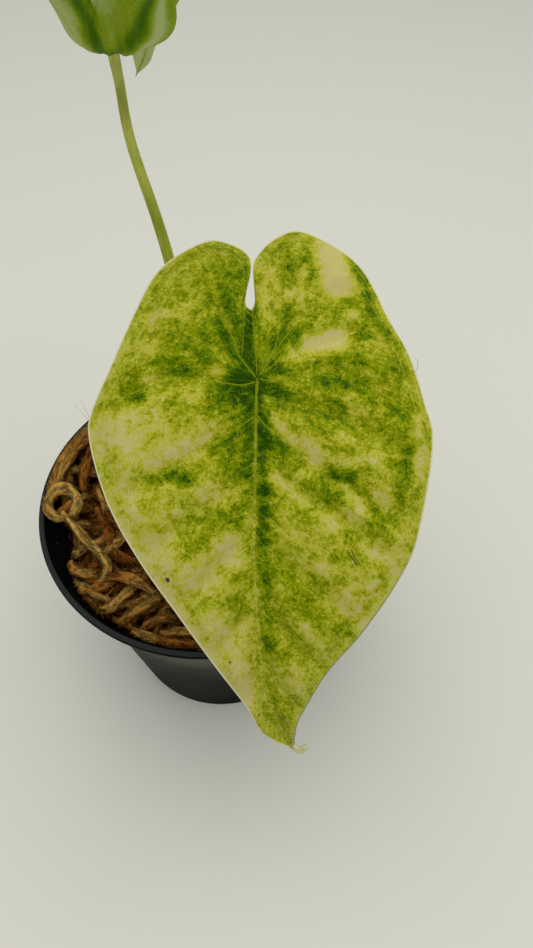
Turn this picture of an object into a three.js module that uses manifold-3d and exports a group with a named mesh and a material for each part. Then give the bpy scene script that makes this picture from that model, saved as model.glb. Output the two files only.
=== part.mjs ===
// A young potted alocasia: two heart-shaped marbled leaves on long stalks, rising from a
// crown that is rooted in dried sphagnum moss, in a thin black nursery pot.
// Millimetres, +Z up. The origin is the centre of the pot's base, on the surface that the
// pot stands on. The front leaf's tip points towards -Y.
import * as THREE from "three";
import Module from "manifold-3d";

// Pot
const POT_HEIGHT = 66;
const RIM_RADIUS = 38;
const BASE_RADIUS = 26;
const BASE_BEVEL = 0.8;
const WALL = 1.1;
const FLOOR = 1.6;
const LIP_HEIGHT = 2.6;
const LIP_WIDTH = 1.5;
const LIP_BEVEL = 0.5;
const COLLAR_HEIGHT = 11;
const COLLAR_STEP = 0.7;
const POT_SIDES = 56;
const DRAIN_HOLES = 6;
const DRAIN_RADIUS = 3;
const DRAIN_CIRCLE = 17;
const DRAIN_SIDES = 12;

// Clearance between neighbouring pieces
const GAP = 0.3;

// Crown and roots: the short rootstock that both stalks rise from
const CROWN_CENTRE = [4, 1];
const CROWN_PROFILE = [
  [0, 42],
  [2.2, 43],
  [4.2, 46.5],
  [5.2, 51],
  [5.1, 56],
  [4.6, 61],
  [4.2, 65],
  [3.4, 66.2],
  [0, 66.4],
];
const CROWN_SIDES = 16;
const ROOTS = 5;
const ROOT_TOP = 47;
const ROOT_END = 14;
// Every other root is shorter, and every third ends higher, by these.
const ROOT_SHORTER = 4;
const ROOT_HIGHER = 6;
const ROOT_START = 1.5;
const ROOT_SPREAD = 17;
const ROOT_TURN = 1.3;
const ROOT_DROOP = 1.4;
const ROOT_POINTS = 4;
const ROOT_RADIUS = 1.1;
const ROOT_TIP_RADIUS = 0.5;
const ROOT_STEPS = 6;
const ROOT_SIDES = 5;

// Moss
const MOSS_LEVEL = 59.5;
const MOSS_MOUND = 3;
const MOSS_RINGS = 6;
const MOSS_SIDES = 28;
// Broad rises and hollows in its surface: x, y, height, reach
const MOSS_LUMPS = [
  [-32, -9, -3.6, 12],
  [-31, 13, 3.6, 10],
  [-9, -31, 3.4, 12],
  [16, 24, 2.6, 13],
  [28, -12, -2.4, 12],
  [14, -20, 1.8, 10],
  [-16, 4, -1.6, 8],
];
const MOSS_RIPPLE = 0.5;
const STRANDS = 40;
const STRAND_SEED = 11;
const STRAND_SIDES = 4;
const STRAND_STEP = 4.6;
const STRAND_MIN_STEPS = 3;
const STRAND_MORE_STEPS = 3;
const STRAND_MIN_RADIUS = 0.85;
const STRAND_MORE_RADIUS = 0.4;
const STRAND_BEND = 0.5;
const STRAND_SINK = 1.8;
const STRAND_MIN_LIFT = 0.4;
const STRAND_MORE_LIFT = 1.9;
// Strands keep this far from the crown's middle and from the pot's wall.
const STRAND_CROWN_ROOM = 9;
const STRAND_WALL_ROOM = 3.4;
// The crown's hole is a plain round one from here up.
const MOUTH_BOTTOM = 51;
const MOUTH_TOP = 72;

// Blades. Every blade has the same flat outline, in millimetres from the stalk's joint: +y
// towards the lobes, the tip at -y. It is drawn as pairs of rays that follow the side veins.
// Each ray leaves the midrib "along" millimetres below the joint. Its first two numbers are its
// end on the margin, and the other two the point that it passes half-way.
const RAYS = [
  { along: 0, left: [-0.7, 10, -0.35, 5], right: [-0.7, 10, -0.35, 5] },
  { along: 0, left: [-1.3, 11.2, -1.3, 5.9], right: [-0.3, 11.4, -0.05, 5.8] },
  { along: 0, left: [-0.9, 16.5, -2.6, 9.2], right: [-0.4, 16.6, 0.6, 8.5] },
  { along: 0, left: [-1.8, 19.2, -3.4, 10.4], right: [0.3, 19.4, 1.5, 9.8] },
  { along: 0, left: [-4.2, 20.6, -4.2, 11], right: [2.9, 21.7, 3, 10.5] },
  { along: 0, left: [-7.7, 20.8, -5.2, 10.6], right: [6.7, 22.2, 4.4, 11.2] },
  { along: 0, left: [-14, 16.3, -6.9, 9], right: [14.1, 17.1, 6.8, 10.2] },
  { along: 0, left: [-17.5, 9.2, -7.9, 6.6], right: [18.6, 8.9, 9.6, 8.8] },
  { along: 0, left: [-20.6, 2.3, -9.6, 3.6], right: [21.8, 3.5, 10.6, 4.6] },
  { along: 0.3, left: [-23.6, -4.4, -11.6, -0.2], right: [24.3, -3.6, 11.8, 1.6] },
  { along: 2.1, left: [-24, -8.6, -11.7, -4.2], right: [25.1, -9.1, 12.3, -5.9] },
  { along: 5.1, left: [-21.2, -17.9, -10.5, -11.8], right: [23, -22.5, 11.2, -14.5] },
  { along: 13.4, left: [-16.4, -25.9, -8.1, -19.1], right: [20.3, -28.8, 10.9, -19.4] },
  { along: 22.5, left: [-11, -33.2, -5.8, -27.3], right: [15.2, -36.8, 7.3, -28.9] },
  { along: 33, left: [-5.9, -41.5, -3.3, -36.7], right: [10.2, -44, 4.9, -38.1] },
  { along: 43.5, left: [-1.2, -49.9, -0.7, -46.3], right: [6.5, -52.1, 3.5, -47.5] },
  { along: 51, left: [1.1, -55.2, 1.2, -52.9], right: [5.8, -56.7, 3.6, -53.8] },
  { along: 60, left: [5.6, -60, 5.6, -60], right: [5.6, -60, 5.6, -60] },
];
// Rays that carry a side vein, counted from the notch
const LEFT_VEINS = [2, 6, 9, 11, 12, 13, 14, 15];
const RIGHT_VEINS = [4, 6.5, 8, 9.5, 10, 11, 12, 13, 14, 15];
// The midrib wanders sideways on its way down from the joint to the tip.
const MIDRIB = [
  [0, 0],
  [-0.2, -6],
  [-0.35, -17],
  [-0.5, -26],
  [0.1, -37],
  [0.6, -43],
  [1.8, -50.7],
  [5.6, -60],
];
const MIDRIB_SEARCH = 24;
const TIP_Y = -60;
const STATIONS_PER_RAY = 2;
const RAY_STEPS = 9;
// Steps crowd towards the midrib by this power.
const STEP_POWER = 1.3;
const BLADE_THICKNESS = 0.8;
const MIDRIB_DEPTH = 0.9;
const MIDRIB_WIDTH = 1.6;
const VEIN_DEPTH = 0.35;
// The sheet is puffed between its veins, from and to these shares of a ray.
const QUILT = 0.35;
const QUILT_FROM = 0.25;
const QUILT_TO = 0.8;
const ROLL_FROM = 0.82;

// Each leaf: where its stalk meets it, the way it points, its tilt from level, its size as a
// share of the outline above, and how it is bent. A bend is pairs of length and angle: the
// line turns evenly from each angle to the next, and then runs straight on. Above the joint
// the blade is a bowl whose profile goes from "sides" to "lobes". Below it the sides rise from
// the midrib, and take on "sidesAtTip" between the distances "tipFrom" and "tipTo".
const FRONT_LEAF = {
  joint: [11.5, -20.6, 125.8],
  heading: 0,
  tilt: 33.8,
  size: 1,
  towardsTip: [[0, 0], [52, -28]],
  lobes: [[0, 0], [21, -18]],
  sides: [[0, 10], [25, -16]],
  sidesAtTip: [[0, 16], [10, 0]],
  tipFrom: 18,
  tipTo: 46,
  wave: 0.7,
  waveTurns: 3.5,
  marginRoll: 0.8,
};
const BACK_LEAF = {
  joint: [-7.9, 12, 156],
  heading: 180,
  tilt: -5,
  size: 0.92,
  towardsTip: [[0, 0], [50, -63]],
  lobes: [[0, 5], [7, 70], [18, 46]],
  sides: [[0, 5], [8, 76], [22, 34]],
  sidesAtTip: [[0, 18], [6, 44], [14, 30]],
  tipFrom: 6,
  tipTo: 42,
  wave: 0.6,
  waveTurns: 2.5,
  marginRoll: 0.4,
};

// Stalks: points on the way from the crown to the blade, and the radius at each end
const FRONT_STALK = {
  points: [
    [5.6, -0.6, 56],
    [6.2, -1.9, 74],
    [7.6, -4.8, 90],
    [9.6, -9.6, 106],
  ],
  baseRadius: 1.5,
  topRadius: 0.95,
  leaf: FRONT_LEAF,
};
const BACK_STALK = {
  points: [
    [2.4, 2.6, 56],
    [1.7, 3.4, 82],
    [-0.9, 5.4, 108],
    [-3.9, 7.6, 128.9],
    [-6.9, 9.75, 143],
  ],
  baseRadius: 1.5,
  topRadius: 0.65,
  leaf: BACK_LEAF,
};
const STALK_SIDES = 12;
const STALK_STEPS = 24;
// The last stretch of a stalk runs straight into the blade.
const STALK_ARRIVAL = 5;

const COLOURS = {
  pot: 0x17191c,
  moss: 0x7a5a33,
  crown: 0x6a5a2c,
  stalk: 0x8a9a38,
  blade: 0x9aa63a,
};

const wasm = await Module();
wasm.setup();
const { lerp, smoothstep, clamp, degToRad } = THREE.MathUtils;

// Solids

// One closed geometry from corner points and faces, with equal points merged
function closedGeometry(points, faces) {
  const seen = new Map();
  const positions = [];
  const merged = points.map((p) => {
    const key = p
      .toArray()
      .map((v) => Math.round(v * 1e4))
      .join(" ");
    if (!seen.has(key)) {
      seen.set(key, positions.length / 3);
      positions.push(p.x, p.y, p.z);
    }
    return seen.get(key);
  });
  const index = [];
  for (const face of faces) {
    const [a, b, c] = face.map((i) => merged[i]);
    if (a !== b && b !== c && a !== c) index.push(a, b, c);
  }
  const geometry = new THREE.BufferGeometry();
  geometry.setAttribute("position", new THREE.Float32BufferAttribute(positions, 3));
  geometry.setIndex(index);
  return geometry;
}

function solidOf(geometry) {
  const position = geometry.getAttribute("position");
  const points = [];
  for (let i = 0; i < position.count; i++) {
    points.push(new THREE.Vector3().fromBufferAttribute(position, i));
  }
  const corners = geometry.index ? [...geometry.index.array] : points.map((_, i) => i);
  const faces = [];
  for (let i = 0; i < corners.length; i += 3) faces.push(corners.slice(i, i + 3));
  const clean = closedGeometry(points, faces);
  return new wasm.Manifold(
    new wasm.Mesh({
      numProp: 3,
      vertProperties: new Float32Array(clean.getAttribute("position").array),
      triVerts: new Uint32Array(clean.index.array),
    }),
  );
}

function geometryOf(solid) {
  const mesh = solid.getMesh();
  const geometry = new THREE.BufferGeometry();
  geometry.setAttribute("position", new THREE.BufferAttribute(mesh.vertProperties, 3));
  geometry.setIndex(new THREE.BufferAttribute(mesh.triVerts, 1));
  return geometry;
}

function largestBody(solid) {
  return solid.decompose().reduce((a, b) => (b.volume() > a.volume() ? b : a));
}

// Repeatable random numbers from 0 to 1
function randomFrom(seed) {
  let state = seed;
  return () => {
    state = (state * 1664525 + 1013904223) % 4294967296;
    return state / 4294967296;
  };
}

// A lathed solid about +Z, from radius and height pairs
function lathed(profile, sides) {
  const points = profile.map(([r, z]) => new THREE.Vector2(r, z));
  return solidOf(new THREE.LatheGeometry(points, sides).rotateX(Math.PI / 2));
}

// A closed round tube along a curve. radiusAt gives the radius at each share of the length.
function tube(curve, radiusAt, steps, sides) {
  const frames = curve.computeFrenetFrames(steps, false);
  const points = [];
  const faces = [];
  for (let i = 0; i <= steps; i++) {
    const centre = curve.getPointAt(i / steps);
    const radius = radiusAt(i / steps);
    for (let j = 0; j < sides; j++) {
      const turn = (2 * Math.PI * j) / sides;
      const spoke = frames.normals[i].clone().multiplyScalar(Math.cos(turn) * radius);
      spoke.addScaledVector(frames.binormals[i], Math.sin(turn) * radius);
      points.push(spoke.add(centre));
    }
  }
  const first = points.push(curve.getPointAt(0)) - 1;
  const last = points.push(curve.getPointAt(1)) - 1;
  for (let j = 0; j < sides; j++) {
    const next = (j + 1) % sides;
    for (let i = 0; i < steps; i++) {
      const [a, b] = [i * sides + j, i * sides + next];
      faces.push([a, b, b + sides], [a, b + sides, a + sides]);
    }
    faces.push([first, next, j], [last, steps * sides + j, steps * sides + next]);
  }
  return closedGeometry(points, faces);
}

// Pot

const COLLAR_RADIUS = RIM_RADIUS - LIP_WIDTH;
const COLLAR_BOTTOM = POT_HEIGHT - COLLAR_HEIGHT;
const BODY_TOP_RADIUS = COLLAR_RADIUS - COLLAR_STEP;

function innerRadiusAt(z) {
  if (z >= COLLAR_BOTTOM) return COLLAR_RADIUS - WALL;
  return lerp(BASE_RADIUS, BODY_TOP_RADIUS, z / COLLAR_BOTTOM) - WALL;
}

function potGeometry() {
  const shell = lathed(
    [
      [0, 0],
      [BASE_RADIUS - BASE_BEVEL, 0],
      [BASE_RADIUS, BASE_BEVEL],
      [BODY_TOP_RADIUS, COLLAR_BOTTOM - COLLAR_STEP],
      [COLLAR_RADIUS, COLLAR_BOTTOM],
      [COLLAR_RADIUS, POT_HEIGHT - LIP_HEIGHT],
      [RIM_RADIUS - LIP_BEVEL, POT_HEIGHT - LIP_HEIGHT],
      [RIM_RADIUS, POT_HEIGHT - LIP_HEIGHT + LIP_BEVEL],
      [RIM_RADIUS, POT_HEIGHT - LIP_BEVEL],
      [RIM_RADIUS - LIP_BEVEL, POT_HEIGHT],
      [COLLAR_RADIUS - WALL + LIP_BEVEL, POT_HEIGHT],
      [COLLAR_RADIUS - WALL, POT_HEIGHT - LIP_BEVEL],
      [COLLAR_RADIUS - WALL, COLLAR_BOTTOM],
      [BODY_TOP_RADIUS - WALL, COLLAR_BOTTOM - COLLAR_STEP],
      [innerRadiusAt(FLOOR), FLOOR],
      [0, FLOOR],
    ],
    POT_SIDES,
  );
  const drains = [];
  for (let i = 0; i < DRAIN_HOLES; i++) {
    const turn = (2 * Math.PI * i) / DRAIN_HOLES;
    const drain = new THREE.CylinderGeometry(DRAIN_RADIUS, DRAIN_RADIUS, 4 * FLOOR, DRAIN_SIDES)
      .rotateX(Math.PI / 2)
      .translate(Math.cos(turn) * DRAIN_CIRCLE, Math.sin(turn) * DRAIN_CIRCLE, 0);
    drains.push(solidOf(drain));
  }
  return geometryOf(shell.subtract(wasm.Manifold.union(drains)));
}

// Blades

// How far a bent line reaches along and up after a length, and its direction there
function bent(bend, length) {
  let direction = degToRad(bend[0][1]);
  let reach = 0;
  let rise = 0;
  for (let i = 0; i + 1 < bend.length && length > bend[i][0]; i++) {
    const [from, to] = [bend[i], bend[i + 1]];
    const start = degToRad(from[1]);
    const rate = degToRad(to[1] - from[1]) / (to[0] - from[0]);
    direction = start + rate * Math.min(length - from[0], to[0] - from[0]);
    reach += (Math.sin(direction) - Math.sin(start)) / rate;
    rise += (Math.cos(start) - Math.cos(direction)) / rate;
  }
  const straight = Math.max(0, length - bend[bend.length - 1][0]);
  return {
    direction,
    reach: reach + straight * Math.cos(direction),
    rise: rise + straight * Math.sin(direction),
  };
}

function bendBetween(a, b, share) {
  return a.map(([length, angle], i) => [lerp(length, b[i][0], share), lerp(angle, b[i][1], share)]);
}

// A smooth line through rows of numbers: row 0 at 0, row 1 at 1, and so on
function through(rows, at) {
  const i = clamp(Math.floor(at), 0, rows.length - 2);
  const s = at - i;
  const row = (k) => rows[clamp(k, 0, rows.length - 1)];
  return rows[i].map((b, n) => {
    const [a, c, d] = [row(i - 1)[n], row(i + 1)[n], row(i + 2)[n]];
    const cubic = (3 * (b - c) + d - a) * s ** 3;
    return 0.5 * (2 * b + (c - a) * s + (2 * a - 5 * b + 4 * c - d) * s ** 2 + cubic);
  });
}

// The midrib's x at a height below the joint
function middleAt(y) {
  let low = 0;
  let high = MIDRIB.length - 1;
  for (let i = 0; i < MIDRIB_SEARCH; i++) {
    const half = (low + high) / 2;
    if (through(MIDRIB, half)[1] > y) low = half;
    else high = half;
  }
  return through(MIDRIB, low)[0];
}

// A point of the flat outline, bent into the leaf's own form: x across the blade, y towards
// the lobes, z out of the upper face
function shaped(leaf, x, y) {
  if (y > 0) {
    const away = Math.hypot(x, y);
    const share = smoothstep(Math.atan2(y, Math.abs(x)), 0, Math.PI / 2);
    const bowl = bent(bendBetween(leaf.sides, leaf.lobes, share), away);
    return new THREE.Vector3((bowl.reach * x) / away, (bowl.reach * y) / away, bowl.rise);
  }
  const middle = middleAt(y);
  const along = bent(leaf.towardsTip, -y);
  const share = smoothstep(-y, leaf.tipFrom, leaf.tipTo);
  const across = bent(bendBetween(leaf.sides, leaf.sidesAtTip, share), Math.abs(x - middle));
  return new THREE.Vector3(
    middle + across.reach * (x < middle ? -1 : 1),
    across.rise * Math.sin(along.direction) - along.reach,
    across.rise * Math.cos(along.direction) + along.rise,
  );
}

function leafMatrix(leaf) {
  const turn = new THREE.Euler(degToRad(leaf.tilt), 0, degToRad(leaf.heading), "ZXY");
  return new THREE.Matrix4()
    .makeRotationFromEuler(turn)
    .setPosition(new THREE.Vector3(...leaf.joint));
}

// A point of the flat outline on the leaf as it grows, lifted off the sheet's middle
const NEARBY = 0.3;
function placed(leaf, x, y, lift) {
  const [sx, sy] = [x * leaf.size, y * leaf.size];
  const point = shaped(leaf, sx, sy);
  const across = shaped(leaf, sx + NEARBY, sy).sub(shaped(leaf, sx - NEARBY, sy));
  const along = shaped(leaf, sx, sy + NEARBY).sub(shaped(leaf, sx, sy - NEARBY));
  point.addScaledVector(across.cross(along).normalize(), lift);
  return point.applyMatrix4(leafMatrix(leaf));
}

// A point of a ray on the flat blade, by its place along the margin and its share of the way
// from the midrib to the margin
function rayPoint(rows, station, share) {
  const [x, y, halfX, halfY, along] = through(rows, station);
  const startY = -clamp(along, 0, -TIP_Y);
  const start = new THREE.Vector2(middleAt(startY), startY);
  const end = new THREE.Vector2(x, y);
  const control = new THREE.Vector2(2 * halfX, 2 * halfY)
    .addScaledVector(start, -0.5)
    .addScaledVector(end, -0.5);
  return new THREE.Vector2()
    .addScaledVector(start, (1 - share) ** 2)
    .addScaledVector(control, 2 * share * (1 - share))
    .addScaledVector(end, share ** 2);
}

// 1 on a side vein, falling to 0 half-way to the next ray
function veinShare(veins, station) {
  const nearest = Math.min(...veins.map((v) => Math.abs(v - station)));
  return Math.max(0, 1 - nearest / 0.5);
}

function bladeGeometry(leaf) {
  const points = [];
  const faces = [];
  const halves = [
    { name: "left", side: -1, veins: LEFT_VEINS },
    { name: "right", side: 1, veins: RIGHT_VEINS },
  ];
  const last = RAYS.length - 1;
  for (const { name, side, veins } of halves) {
    const rows = RAYS.map((ray) => [...ray[name], ray.along]);
    const base = points.length;
    const count = last * STATIONS_PER_RAY;
    for (let i = 0; i <= count; i++) {
      const station = i / STATIONS_PER_RAY;
      const length = rayPoint(rows, station, 0).distanceTo(rayPoint(rows, station, 1));
      for (let k = 0; k <= RAY_STEPS; k++) {
        const share = (k / RAY_STEPS) ** STEP_POWER;
        const flat = rayPoint(rows, station, share);
        const body = 1 - smoothstep(-flat.y, 0, -TIP_Y);
        const vein = veinShare(veins, station);
        const inside = smoothstep(share, 0, QUILT_FROM) * (1 - smoothstep(share, QUILT_TO, 1));
        const turns = (station / last) * leaf.waveTurns * 2 * Math.PI;
        const wave = leaf.wave * share ** 3 * body * Math.sin(turns);
        const roll = leaf.marginRoll * smoothstep(share, ROLL_FROM, 1) * body;
        const shift = wave - roll + QUILT * inside * (0.5 - vein);
        const midrib = MIDRIB_DEPTH * body * Math.max(0, 1 - (share * length) / MIDRIB_WIDTH);
        const rib = Math.max(midrib, VEIN_DEPTH * vein * Math.sqrt(1 - share));
        points.push(placed(leaf, flat.x, flat.y, shift + BLADE_THICKNESS / 2));
        points.push(placed(leaf, flat.x, flat.y, shift - BLADE_THICKNESS / 2 - rib));
      }
    }
    const at = (i, k) => base + 2 * (i * (RAY_STEPS + 1) + k);
    const add = (a, b, c) => faces.push(side > 0 ? [a, b, c] : [a, c, b]);
    for (let i = 0; i < count; i++) {
      for (let k = 0; k < RAY_STEPS; k++) {
        const [a, b, c, d] = [at(i, k), at(i, k + 1), at(i + 1, k + 1), at(i + 1, k)];
        add(a, c, b);
        add(a, d, c);
        add(a + 1, b + 1, c + 1);
        add(a + 1, c + 1, d + 1);
      }
      const [a, b] = [at(i, RAY_STEPS), at(i + 1, RAY_STEPS)];
      add(a, b, b + 1);
      add(a, b + 1, a + 1);
    }
  }
  return closedGeometry(points, faces);
}

// Stalks

function stalkCurve({ points, leaf }) {
  const under = -(BLADE_THICKNESS / 2 + MIDRIB_DEPTH + GAP);
  const top = placed(leaf, 0, 0, under);
  const arrival = placed(leaf, 0, 0, under - STALK_ARRIVAL);
  const way = points.map((p) => new THREE.Vector3(...p));
  return new THREE.CatmullRomCurve3([...way, arrival, top]);
}

function stalkGeometry(stalk, extra = 0) {
  const radiusAt = (share) => lerp(stalk.baseRadius, stalk.topRadius, share) + extra;
  return tube(stalkCurve(stalk), radiusAt, STALK_STEPS, STALK_SIDES);
}

// Crown, roots and moss

// The crown with its roots, all of it thicker by "extra" where it cuts its own hole
function crownSolid(extra = 0) {
  const [cx, cy] = CROWN_CENTRE;
  const profile = CROWN_PROFILE.map(([r, z], i) => {
    if (i === 0) return [0, z - extra];
    return r > 0 ? [r + extra, z] : [0, z + extra];
  });
  const parts = [lathed(profile, CROWN_SIDES).translate([cx, cy, 0])];
  for (let i = 0; i < ROOTS; i++) {
    const points = [];
    const spread = ROOT_SPREAD - ROOT_SHORTER * (i % 2);
    for (let k = 0; k <= ROOT_POINTS; k++) {
      const share = k / ROOT_POINTS;
      const turn = (2 * Math.PI * i) / ROOTS + ROOT_TURN * share;
      const reach = ROOT_START + spread * Math.sin((share * Math.PI) / 2);
      const z = lerp(ROOT_TOP, ROOT_END + ROOT_HIGHER * (i % 3), share ** ROOT_DROOP);
      points.push(new THREE.Vector3(cx + reach * Math.cos(turn), cy + reach * Math.sin(turn), z));
    }
    const radiusAt = (share) => lerp(ROOT_RADIUS, ROOT_TIP_RADIUS, share) + extra;
    const curve = new THREE.CatmullRomCurve3(points);
    parts.push(solidOf(tube(curve, radiusAt, ROOT_STEPS, ROOT_SIDES)));
  }
  return wasm.Manifold.union(parts);
}

function crownGeometry() {
  const sockets = [FRONT_STALK, BACK_STALK].map((stalk) => solidOf(stalkGeometry(stalk, GAP)));
  return geometryOf(largestBody(crownSolid().subtract(wasm.Manifold.union(sockets))));
}

function mossHeight(x, y) {
  const share = Math.hypot(x, y) / innerRadiusAt(POT_HEIGHT);
  let height = MOSS_LEVEL + MOSS_MOUND * (1 - share ** 2);
  for (const [lx, ly, rise, reach] of MOSS_LUMPS) {
    height += rise * Math.exp(-((x - lx) ** 2 + (y - ly) ** 2) / reach ** 2);
  }
  return height + MOSS_RIPPLE * Math.sin(0.41 * x + 0.23 * y) * Math.sin(0.37 * y - 0.29 * x);
}

// The pressed bed that fills the pot, with its uneven top
function mossBed() {
  const points = [];
  const faces = [];
  const levels = [FLOOR + GAP, COLLAR_BOTTOM - COLLAR_STEP, COLLAR_BOTTOM];
  const ringAt = (radius, height) => {
    for (let j = 0; j < MOSS_SIDES; j++) {
      const turn = (2 * Math.PI * j) / MOSS_SIDES;
      const [x, y] = [radius * Math.cos(turn), radius * Math.sin(turn)];
      points.push(new THREE.Vector3(x, y, height(x, y)));
    }
  };
  for (const z of levels) ringAt(innerRadiusAt(z) - GAP, () => z);
  for (let k = MOSS_RINGS; k > 0; k--) {
    ringAt(((innerRadiusAt(POT_HEIGHT) - GAP) * k) / MOSS_RINGS, mossHeight);
  }
  const rings = levels.length + MOSS_RINGS;
  const bottom = points.push(new THREE.Vector3(0, 0, levels[0])) - 1;
  const top = points.push(new THREE.Vector3(0, 0, mossHeight(0, 0))) - 1;
  for (let j = 0; j < MOSS_SIDES; j++) {
    const next = (j + 1) % MOSS_SIDES;
    for (let i = 0; i + 1 < rings; i++) {
      const [a, b] = [i * MOSS_SIDES + j, i * MOSS_SIDES + next];
      faces.push([a, b, b + MOSS_SIDES], [a, b + MOSS_SIDES, a + MOSS_SIDES]);
    }
    faces.push([bottom, next, j]);
    faces.push([top, (rings - 1) * MOSS_SIDES + j, (rings - 1) * MOSS_SIDES + next]);
  }
  return solidOf(closedGeometry(points, faces));
}

// One long strand that lies over the bed, with both ends sunk in it, or nothing where it
// would meet the crown or the wall
function mossStrand(random) {
  const reach = innerRadiusAt(POT_HEIGHT) - STRAND_WALL_ROOM;
  const turn = 2 * Math.PI * random();
  const away = reach * Math.sqrt(random());
  const steps = STRAND_MIN_STEPS + Math.floor(STRAND_MORE_STEPS * random());
  const bend = STRAND_BEND * (random() - 0.5);
  const lift = STRAND_MIN_LIFT + STRAND_MORE_LIFT * random();
  const radius = STRAND_MIN_RADIUS + STRAND_MORE_RADIUS * random();
  let heading = 2 * Math.PI * random();
  let [x, y] = [away * Math.cos(turn), away * Math.sin(turn)];
  const points = [];
  for (let i = 0; i <= steps; i++) {
    const room = Math.hypot(x - CROWN_CENTRE[0], y - CROWN_CENTRE[1]);
    if (room < STRAND_CROWN_ROOM || Math.hypot(x, y) > reach) return null;
    const arch = Math.sqrt(Math.sin((Math.PI * i) / steps));
    const z = mossHeight(x, y) + lerp(-STRAND_SINK, lift, arch);
    points.push(new THREE.Vector3(x, y, z));
    x += STRAND_STEP * Math.cos(heading);
    y += STRAND_STEP * Math.sin(heading);
    heading += bend;
  }
  const curve = new THREE.CatmullRomCurve3(points);
  const radiusAt = (share) => radius * (1 - 0.5 * Math.abs(2 * share - 1) ** 3);
  return solidOf(tube(curve, radiusAt, steps + 1, STRAND_SIDES));
}

function mossGeometry() {
  const random = randomFrom(STRAND_SEED);
  const strands = [];
  while (strands.length < STRANDS) {
    const strand = mossStrand(random);
    if (strand) strands.push(strand);
  }
  const [cx, cy] = CROWN_CENTRE;
  const mouthRadius = Math.max(...CROWN_PROFILE.map(([r]) => r)) + GAP;
  const mouth = [
    [0, MOUTH_BOTTOM],
    [mouthRadius, MOUTH_BOTTOM],
    [mouthRadius, MOUTH_TOP],
    [0, MOUTH_TOP],
  ];
  const hole = crownSolid(GAP).add(lathed(mouth, CROWN_SIDES).translate([cx, cy, 0]));
  const pile = wasm.Manifold.union([mossBed(), ...strands]);
  return geometryOf(largestBody(pile.subtract(hole)));
}

// The whole plant in its pot

function piece(name, geometry, colour, roughness) {
  const material = new THREE.MeshStandardMaterial({ color: colour, roughness, metalness: 0 });
  const mesh = new THREE.Mesh(geometry, material);
  mesh.name = name;
  return mesh;
}

const plant = new THREE.Group();
plant.add(
  piece("pot", potGeometry(), COLOURS.pot, 0.45),
  piece("moss_bed", mossGeometry(), COLOURS.moss, 0.95),
  piece("crown", crownGeometry(), COLOURS.crown, 0.8),
  piece("stalk_front", stalkGeometry(FRONT_STALK), COLOURS.stalk, 0.5),
  piece("stalk_back", stalkGeometry(BACK_STALK), COLOURS.stalk, 0.5),
  piece("blade_front", bladeGeometry(FRONT_LEAF), COLOURS.blade, 0.45),
  piece("blade_back", bladeGeometry(BACK_LEAF), COLOURS.blade, 0.45),
);

export default plant;
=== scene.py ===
"""The looks of a young potted alocasia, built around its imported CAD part.

Sizes are in millimetres in the row frame and turn into metres where a mesh is made. The front
leaf repeats the part's own bends and the back leaf keeps close to them, so that each fine piece
lies where its solid does.
"""

import logging
import math
from collections.abc import Sequence
from dataclasses import dataclass, field, replace
from enum import Enum

import bmesh
import bpy
import numpy as np
from mathutils import Matrix, kdtree


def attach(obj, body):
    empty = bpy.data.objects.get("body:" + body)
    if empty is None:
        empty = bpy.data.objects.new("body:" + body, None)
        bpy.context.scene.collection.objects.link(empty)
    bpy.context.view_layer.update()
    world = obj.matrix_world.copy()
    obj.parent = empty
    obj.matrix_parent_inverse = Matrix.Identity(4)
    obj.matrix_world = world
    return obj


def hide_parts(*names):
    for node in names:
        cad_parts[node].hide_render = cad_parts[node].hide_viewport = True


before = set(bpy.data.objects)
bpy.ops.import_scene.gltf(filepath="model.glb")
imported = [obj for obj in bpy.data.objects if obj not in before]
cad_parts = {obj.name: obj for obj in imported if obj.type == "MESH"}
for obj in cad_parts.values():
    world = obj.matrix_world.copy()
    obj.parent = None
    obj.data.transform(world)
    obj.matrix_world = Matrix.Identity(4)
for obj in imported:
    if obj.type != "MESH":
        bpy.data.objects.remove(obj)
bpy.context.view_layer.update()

MM = 0.001
BODY = "root"
LOG = logging.getLogger("plant")

Pair = tuple[float, float]
Triple = tuple[float, float, float]
Colour = tuple[float, float, float]
Array = np.ndarray
Draws = np.random.Generator
Material = bpy.types.Material
Node = bpy.types.Node
Piece = bpy.types.Object
Socket = bpy.types.NodeSocket
Tree = bpy.types.NodeTree
Bend = Sequence[tuple[float | Array, float | Array]]

# The kinds of socket in the node groups
NUMBER = "NodeSocketFloat"
VECTOR = "NodeSocketVector"
# The tint of the shine on a leaf and on a stalk
LEAF_SHINE = (1.0, 1.0, 0.2, 1.0)
STALK_SHINE = (1.0, 1.0, 0.4, 1.0)


class Side(Enum):
    """A half of a blade, seen from above with the tip down."""

    LEFT = -1
    RIGHT = 1


class Slot(Enum):
    """The record's material slots."""

    POT = "pot"
    MOSS = "moss"
    CROWN = "crown"
    STALK = "stalk"
    BLADE = "blade"


# Lines and curves


def unit(vectors: Array, least: float = 1e-9) -> Array:
    """Vectors made 1 long. Those shorter than the least stay short."""
    return vectors / np.maximum(np.linalg.norm(vectors, axis=-1, keepdims=True), least)


def around(radius: Array | float, turn: Array, height: Array | float) -> Array:
    """Points about +Z, from their radius, turn and height."""
    return np.stack([radius * np.cos(turn), radius * np.sin(turn), height + 0 * turn], axis=-1)


def smoothstep(values: Array, low: float, high: float) -> Array:
    """A smooth step from 0 at low to 1 at high."""
    share = np.clip((values - low) / (high - low), 0, 1)
    return share * share * (3 - 2 * share)


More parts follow.
